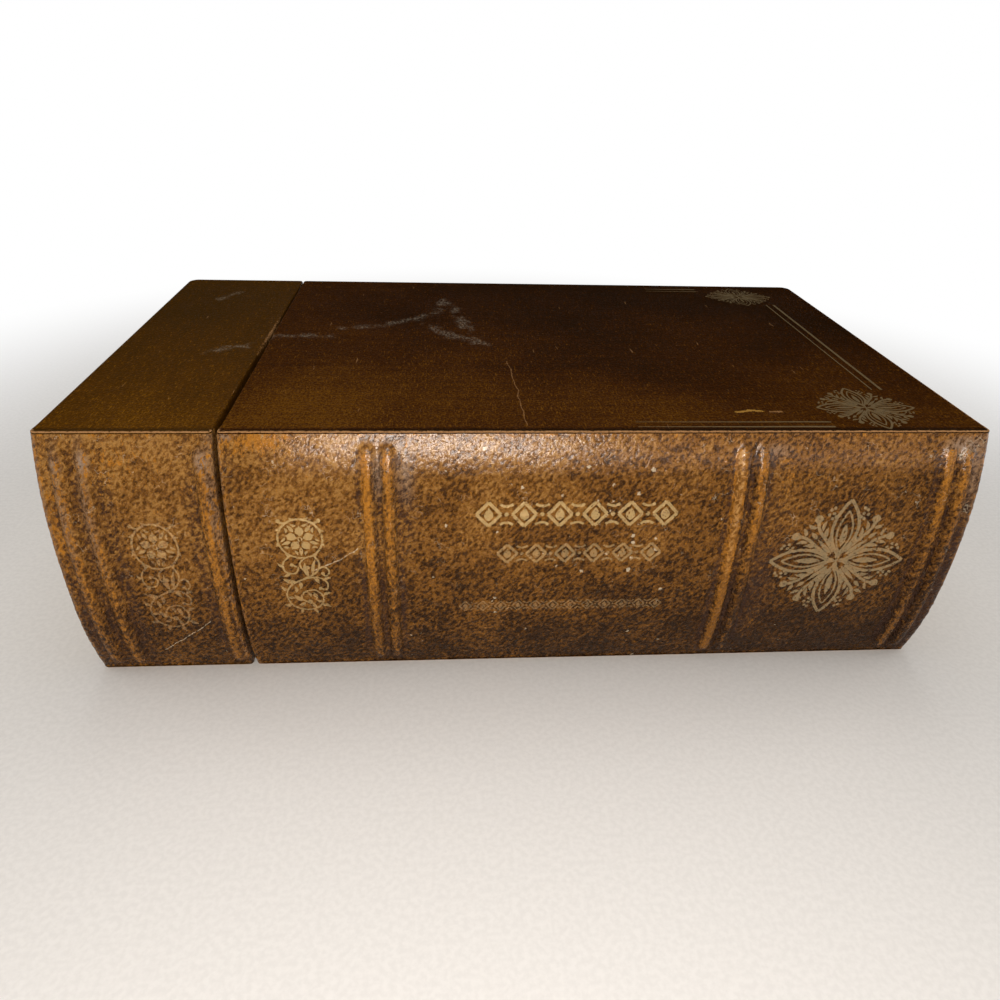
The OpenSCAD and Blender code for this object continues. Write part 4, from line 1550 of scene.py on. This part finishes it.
@dataclass(frozen=True)
class LozengeRow:
    """A row of gilt lozenges along the spine, with beads and bows between them."""

    name: str
    finish: GiltFoil
    middle: float
    level: float
    length: float
    height: float
    count: int

    def lay(self, gilt: Tooling) -> None:
        """Lays the row's foil."""
        pitch = self.length / self.count
        wide, tall = pitch * 0.34, self.height / 2
        for k in range(self.count):
            x, z = self.middle + (k - (self.count - 1) / 2) * pitch, self.level
            corners = [(x - wide, z), (x, z + tall), (x + wide, z), (x, z - tall)]
            for a, b in zip(corners, corners[1:] + corners[:1]):
                gilt.ribbon([a, b], self.height * 0.13)
            gilt.ribbon([(x, z - tall * 0.55), (x, z + tall * 0.55)], pitch * 0.26, Taper.LEAF)
            if k < self.count - 1:
                gilt.bead(x + pitch / 2, z, self.height * 0.09)
                for side in (-1, 1):
                    a = (x + pitch * 0.5 - wide * 0.55, z + side * tall * 0.86)
                    gilt.ribbon(bow(a, (a[0] + wide * 1.1, a[1]), side * -0.9), self.height * 0.1)


@dataclass
class SpineOrnaments:
    """The gilt ornaments on the spine, of the old printers' kinds."""

    skins: Mapping[Half, SpineLeather]
    # The lower rows' gold is painted darker, with less foil, as painted shade towards the spine's foot
    rows: tuple[LozengeRow, ...] = (
        LozengeRow(
            "upper",
            GiltFoil("gilt_row_upper", gold="#b1955f", kept=0.82, body=0.82),
            middle=201.3,
            level=81.9,
            length=84.0,
            height=10.2,
            count=6,
        ),
        LozengeRow(
            "middle",
            GiltFoil("gilt_row_middle", gold="#a88c58", kept=0.84, body=0.5),
            middle=203.3,
            level=64.1,
            length=70.0,
            height=8.6,
            count=6,
        ),
        LozengeRow(
            "lower",
            GiltFoil("gilt_row_lower", gold="#9a7d4c", kept=0.7, body=0.42),
            middle=197.9,
            level=37.2,
            length=88.0,
            height=5.2,
            count=12,
        ),
    )

    def tooling(self, half: Half, name: str, finish: GiltFoil) -> Tooling:
        """Returns tooling that follows that half's spine."""
        skin = self.skins[half]

        def lay(x: float, z: float, lift: float) -> Vector:
            """Returns the point over X and Z, that far off the leather."""
            return Vector((x, skin.face(x, z)[0] - lift, z))

        return Tooling(f"{half.value}_spine_{name}", half, finish, lay)

    def build(self) -> None:
        """Builds all the ornaments of the spine."""
        for half, centre, scale, kept, body in (
            (Half.LID, (38.4, 54.4), (0.98, 1.16), 0.62, 0.6),
            (Half.BODY, (93.4, 59.4), (0.98, 1.0), 0.92, 0.8),
        ):
            finish = GiltFoil(f"gilt_scroll_{half.value}", kept=kept, body=body, foot_shade=0.5)
            gilt = self.tooling(half, "scroll", finish)
            flower_vine(Pattern(gilt, centre, scale))
            gilt.build()
        for line in self.rows:
            gilt = self.tooling(Half.BODY, f"row_{line.name}", line.finish)
            line.lay(gilt)
            gilt.build()
        finish = GiltFoil("gilt_rosette", gold="#9b865e", kept=0.85, body=0.64)
        gilt = self.tooling(Half.BODY, "rosette", finish)
        rosette(gilt, (312.0, 58.6), (1.0, 1.0))
        gilt.build()


@dataclass
class CoverOrnaments:
    """The corner rosettes and double rules on one of the body's covers."""

    leather: CoverLeather
    # Ends and width of each rule; those along the sides fade towards the seam
    tail_rules: tuple[tuple[Point, Point, float], ...] = (
        ((341.2, 42.0), (341.2, 168.0), 1.2),
        ((336.8, 42.0), (336.8, 168.0), 0.6),
    )
    side_rules: tuple[tuple[Point, Point, float], ...] = (
        ((303.0, 4.4), (224.0, 4.4), 1.3),
        ((303.0, 8.8), (224.0, 8.8), 0.8),
        ((303.0, 198.6), (272.0, 198.6), 0.9),
        ((303.0, 194.2), (272.0, 194.2), 0.55),
    )

    def lay(self, x: float, y: float, lift: float) -> Vector:
        """Returns the point over X and Y, that far off the leather."""
        return self.leather.turned(x, y, BOOK.height - max(0.001, self.leather.sink(x, y) - lift))

    def build(self) -> None:
        """Builds the rules and rosettes of the cover."""
        finish = GiltFoil("gilt_cover", BODY_SKIN, gold="#89764e", kept=0.88, body=0.56)
        name = f"body_{self.leather.cover.value}_tooling"
        gilt = Tooling(name, Half.BODY, finish, self.lay)
        for start, end, width in self.tail_rules:
            gilt.ribbon([start, end], width)
        for start, end, width in self.side_rules:
            gilt.ribbon([start, end], width, Taper.TAIL)
        rosette(gilt, (324.5, 22.8), (0.74, 0.72), 0.66)
        rosette(gilt, (325.5, 184.2), (0.7, 0.62), 0.42)
        gilt.build()


@dataclass
class CarriedSolids:
    """The solids whose own shape shows: they only take their finishes."""

    finishes: Mapping[str, Finish] = field(
        default_factory=lambda: {
            "board": BOARD,
            "spine_block": BOARD,
            "wall": BOARD,
            "spine_cords": CORD,
            "hinge": BRASS,
            "catch_magnets": NICKEL,
            "catch_discs": ZINC,
        }
    )

    def build(self, nodes: Mapping[str, bpy.types.Object]) -> None:
        """Gives every solid that stays in view its finish.

        Args:
            nodes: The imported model's objects by name.
        """
        for name, node in nodes.items():
            finish = next((f for part, f in self.finishes.items() if part in name), None)
            if finish is None:
                continue
            for material_slot in node.material_slots:
                material_slot.material = finish.material()
            if not node.material_slots:
                node.data.materials.append(finish.material())
            LOG.info("%s: %s", name, finish.name)


@dataclass(frozen=True)
class Lamp:
    """An oblong soft lamp that looks at the book's middle; metres, watts and a colour."""

    name: str
    place: tuple[float, float, float]
    size: Point
    power: float
    tint: str
    aim: tuple[float, float, float] = (0.0, 0.0, 0.05)

    def hang(self) -> None:
        """Hangs the lamp in the scene."""
        data = bpy.data.lights.new(self.name, "AREA")
        data.shape = "RECTANGLE"
        data.size, data.size_y = self.size
        data.energy, data.color = self.power, paint(self.tint)[:3]
        made = bpy.data.objects.new(self.name, data)
        place = Vector(self.place)
        turn = (Vector(self.aim) - place).to_track_quat("-Z", "Y")
        made.matrix_world = Matrix.Translation(place) @ turn.to_matrix().to_4x4()
        bpy.context.scene.collection.objects.link(made)


@dataclass
class Studio:
    """The camera at the photograph's angle, the pale floor and the soft lamps."""

    eye: tuple[float, float, float] = (149.43, -254.74, 237.64)
    yaw: float = -4.8742
    pitch: float = 31.0114
    roll: float = 2.0799
    lens: float = 27.094
    sensor: float = 36.0
    clip_start: float = 0.01
    # The floor reaches this far to each side and lies this far under the book, in metres
    floor_reach: float = 4.0
    floor_drop: float = 0.0002
    lamps: tuple[Lamp, ...] = (
        Lamp("key_softbox", (-0.06, -0.57, 0.40), (0.3, 0.2), 1.3, "#fff6ea"),
        Lamp("strip_softbox", (-0.03, -0.57, 0.19), (0.22, 0.06), 1.15, "#fff4ea"),
        Lamp("top_softbox", (0.0, 0.0, 1.15), (1.0, 1.0), 3.0, "#ffffff"),
        Lamp("left_softbox", (-0.95, 0.10, 0.50), (0.7, 0.7), 1.6, "#fffaf2"),
        Lamp("right_softbox", (0.95, 0.10, 0.50), (0.7, 0.7), 1.6, "#fffaf2"),
        Lamp("rear_softbox", (0.0, 0.60, 1.05), (0.9, 0.9), 2.2, "#fffaf2"),
    )

    def camera(self) -> None:
        """Sets up the camera from the photograph's fitted view."""
        yaw, pitch, roll = (math.radians(a) for a in (self.yaw, self.pitch, self.roll))
        forward = Vector(
            (-math.sin(yaw) * math.cos(pitch), math.cos(yaw) * math.cos(pitch), -math.sin(pitch))
        )
        level = Vector((math.cos(yaw), math.sin(yaw), 0.0))
        rise = level.cross(forward)
        right = math.cos(roll) * level + math.sin(roll) * rise
        up = -math.sin(roll) * level + math.cos(roll) * rise
        turn = Matrix((right, up, -forward)).transposed().to_4x4()
        data = bpy.data.cameras.new("photo_camera")
        data.lens, data.sensor_width, data.clip_start = self.lens, self.sensor, self.clip_start
        made = bpy.data.objects.new("photo_camera", data)
        made.matrix_world = Matrix.Translation(row(*self.eye)) @ turn
        bpy.context.scene.collection.objects.link(made)
        bpy.context.scene.camera = made

    def floor(self) -> None:
        """Lays the pale floor, which is no part of the object."""
        mesh = bpy.data.meshes.new("floor")
        shape = bmesh.new()
        bmesh.ops.create_grid(shape, x_segments=8, y_segments=8, size=self.floor_reach)
        shape.to_mesh(mesh)
        shape.free()
        mesh.materials.append(MattFloor("matt_paper_floor").material())
        made = bpy.data.objects.new("floor", mesh)
        made.location.z = -self.floor_drop
        bpy.context.scene.collection.objects.link(made)

    def world(self) -> None:
        """Makes the surroundings: white where they are seen, dimmer as light."""
        world = bpy.data.worlds.new("studio")
        world.use_nodes = True
        bpy.context.scene.world = world
        world.node_tree.nodes.clear()
        nodes = Nodes(world.node_tree)
        rays = nodes.add("LightPath").node.outputs
        height = nodes.axis(nodes.add("TexCoord").node.outputs["Generated"], "Z")
        low = nodes.add("MapRange", {"Value": height, "From Min": 0.06, "From Max": 0.0})
        mirrored = nodes.reckon("MAXIMUM", rays["Is Glossy Ray"], rays["Is Transmission Ray"])
        seen = nodes.reckon("MAXIMUM", nodes.product(mirrored, low), rays["Is Camera Ray"])
        ambient = nodes.weigh(0.012, (rays["Is Diffuse Ray"], 0.2))
        dim = nodes.add("Background", {"Color": "#f4f2ef", "Strength": ambient})
        white = nodes.add("Background", {"Color": "#ffffff", "Strength": 1.0})
        mixed = nodes.add("MixShader", {0: seen, 1: dim, 2: white})
        nodes.add("OutputWorld", {"Surface": mixed})

    def build(self) -> None:
        """Sets up the camera, the floor, the surroundings and the lamps."""
        self.camera()
        self.floor()
        self.world()
        for lamp in self.lamps:
            lamp.hang()
        bpy.context.scene.view_settings.view_transform = "Standard"


def body_spine() -> SpineLeather:
    """Returns the body's spine leather: three double bands over cords, and its wear."""
    return SpineLeather(
        Half.BODY,
        (
            rim_roll(67.5),
            Cord(120.6, ((0.0, 0.55), (40.0, 0.7), (85.0, 0.95), (97.0, 1.1), (108.0, 1.1)), lean=-1.1),
            Cord(128.0, ((0.0, 0.5), (50.0, 0.4), (80.0, 0.7), (108.0, 0.85))),
            Cord(265.8, ((0.0, 0.9), (40.0, 1.1), (80.0, 1.45), (108.0, 1.8)), lean=-1.5),
            Cord(273.2, ((0.0, 0.4), (60.0, 0.25), (66.0, 0.4), (72.0, 0.85), (108.0, 0.8))),
            Cord(
                348.8,
                ((0.0, 0.5), (25.0, 0.8), (45.0, 0.3), (66.0, 0.4), (80.0, 0.9), (108.0, 1.25)),
            ),
            Cord(356.2, ((0.0, 0.3), (60.0, 0.3), (76.0, 0.45), (90.0, 0.7), (108.0, 0.6))),
        ),
        low_x=BOOK.lid_length,
        high_x=BOOK.length,
        low_roll=1.6,
        high_roll=2.5,
        rubs=(
            (80.0, 110.5, 14.0, 4.0, 0.95),
            (284.0, 97.0, 3.0, 7.0, 0.55),
            (287.0, 72.0, 2.0, 6.0, 0.5),
            (283.0, 24.0, 3.5, 9.0, 0.5),
        ),
        # Grime with painted shade beside the cords, on the turned tail and by the seam
        grime_and_shade_patches=(
            (134.5, 90.0, 3.6, 22.0, 0.95),
            (281.0, 52.0, 6.0, 34.0, 0.6),
            (361.5, 50.0, 3.5, 60.0, 1.0),
            (69.0, 104.0, 3.0, 7.0, 0.6),
        ),
        # Painted sheen that stands in for highlights on the cords' tips and flanks and on the tail's
        # corner
        painted_sheen_patches=(
            (134.5, 98.0, 3.2, 10.0, 0.6),
            (124.3, 98.0, 1.6, 9.0, 0.7),
            (278.5, 107.0, 5.0, 2.6, 0.6),
            (355.0, 108.6, 7.5, 3.0, 1.1),
            (361.0, 96.0, 2.0, 14.0, 0.6),
            (69.5, 112.4, 3.4, 1.4, 0.9),
        ),
    )


def lid_spine() -> SpineLeather:
    """Returns the lid's spine leather: a double band, a single one and their wear."""
    return SpineLeather(
        Half.LID,
        (
            Cord(9.1, ((0.0, 0.45), (60.0, 0.55), (108.0, 0.45)), fillet=3.2),
            Cord(18.3, ((0.0, 0.65), (40.0, 0.5), (108.0, 0.4)), fillet=3.2),
            Cord(60.0, ((0.0, 0.65), (50.0, 0.75), (108.0, 0.5)), fillet=3.0),
            rim_roll(63.9),
        ),
        low_x=0.0,
        high_x=BOOK.rim_x(Half.LID, 0.0),
        low_roll=2.5,
        high_roll=1.6,
        rubs=((3.5, 76.0, 3.0, 30.0, 0.62), (30.0, 104.0, 16.0, 8.0, 0.42)),
        # Grime with painted shade beside and between the cords
        grime_and_shade_patches=(
            (24.0, 60.0, 2.6, 62.0, 0.8),
            (13.7, 60.0, 1.6, 60.0, 0.65),
            (54.2, 72.0, 2.0, 44.0, 0.65),
            (3.6, 30.0, 2.4, 40.0, 0.5),
        ),
        # Painted sheen that stands in for highlights on the ridges' faces and tips
        painted_sheen_patches=(
            (16.8, 84.0, 2.2, 26.0, 0.5),
            (8.2, 84.0, 2.0, 24.0, 0.4),
            (62.3, 92.0, 1.8, 22.0, 0.55),
            (18.0, 104.0, 2.2, 4.0, 1.1),
            (8.6, 103.0, 2.0, 3.0, 0.8),
            (60.2, 104.0, 2.2, 4.0, 1.1),
        ),
    )


def main() -> None:
    """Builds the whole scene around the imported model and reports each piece."""
    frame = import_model()
    Studio().build()
    CarriedSolids().build(frame["nodes"])
    noise.seed_set(GRAIN_SEED)
    skins = {Half.BODY: body_spine(), Half.LID: lid_spine()}
    for skin in skins.values():
        skin.build()
    for cover in Cover:
        CoverLeather(Half.LID, cover, LID_SKIN).build()
        leather = CoverLeather(Half.BODY, cover, BODY_SKIN)
        leather.build()
        CoverOrnaments(leather).build()
    for half, end in ((Half.BODY, "tail"), (Half.LID, "head")):
        PagePanel(f"{half.value}_fore_edge_pages", half, True).build()
        PagePanel(f"{half.value}_{end}_pages", half, False).build()
        # Each wall's lining, with the axis and the sign of the way it looks
        for wall, axis, sign in (
            ("front", 2, -1),
            ("back", 2, 1),
            ("spine", 1, 1),
            ("fore_edge", 1, -1),
            (end, 0, -1 if half is Half.BODY else 1),
        ):
            LiningPanel(f"{half.value}_{wall}_lining", half, axis, sign).build()
    SpineOrnaments(skins).build()


if __name__ == "__main__":
    logging.basicConfig(level=logging.INFO, format="%(asctime)s %(name)s: %(message)s")
    main()
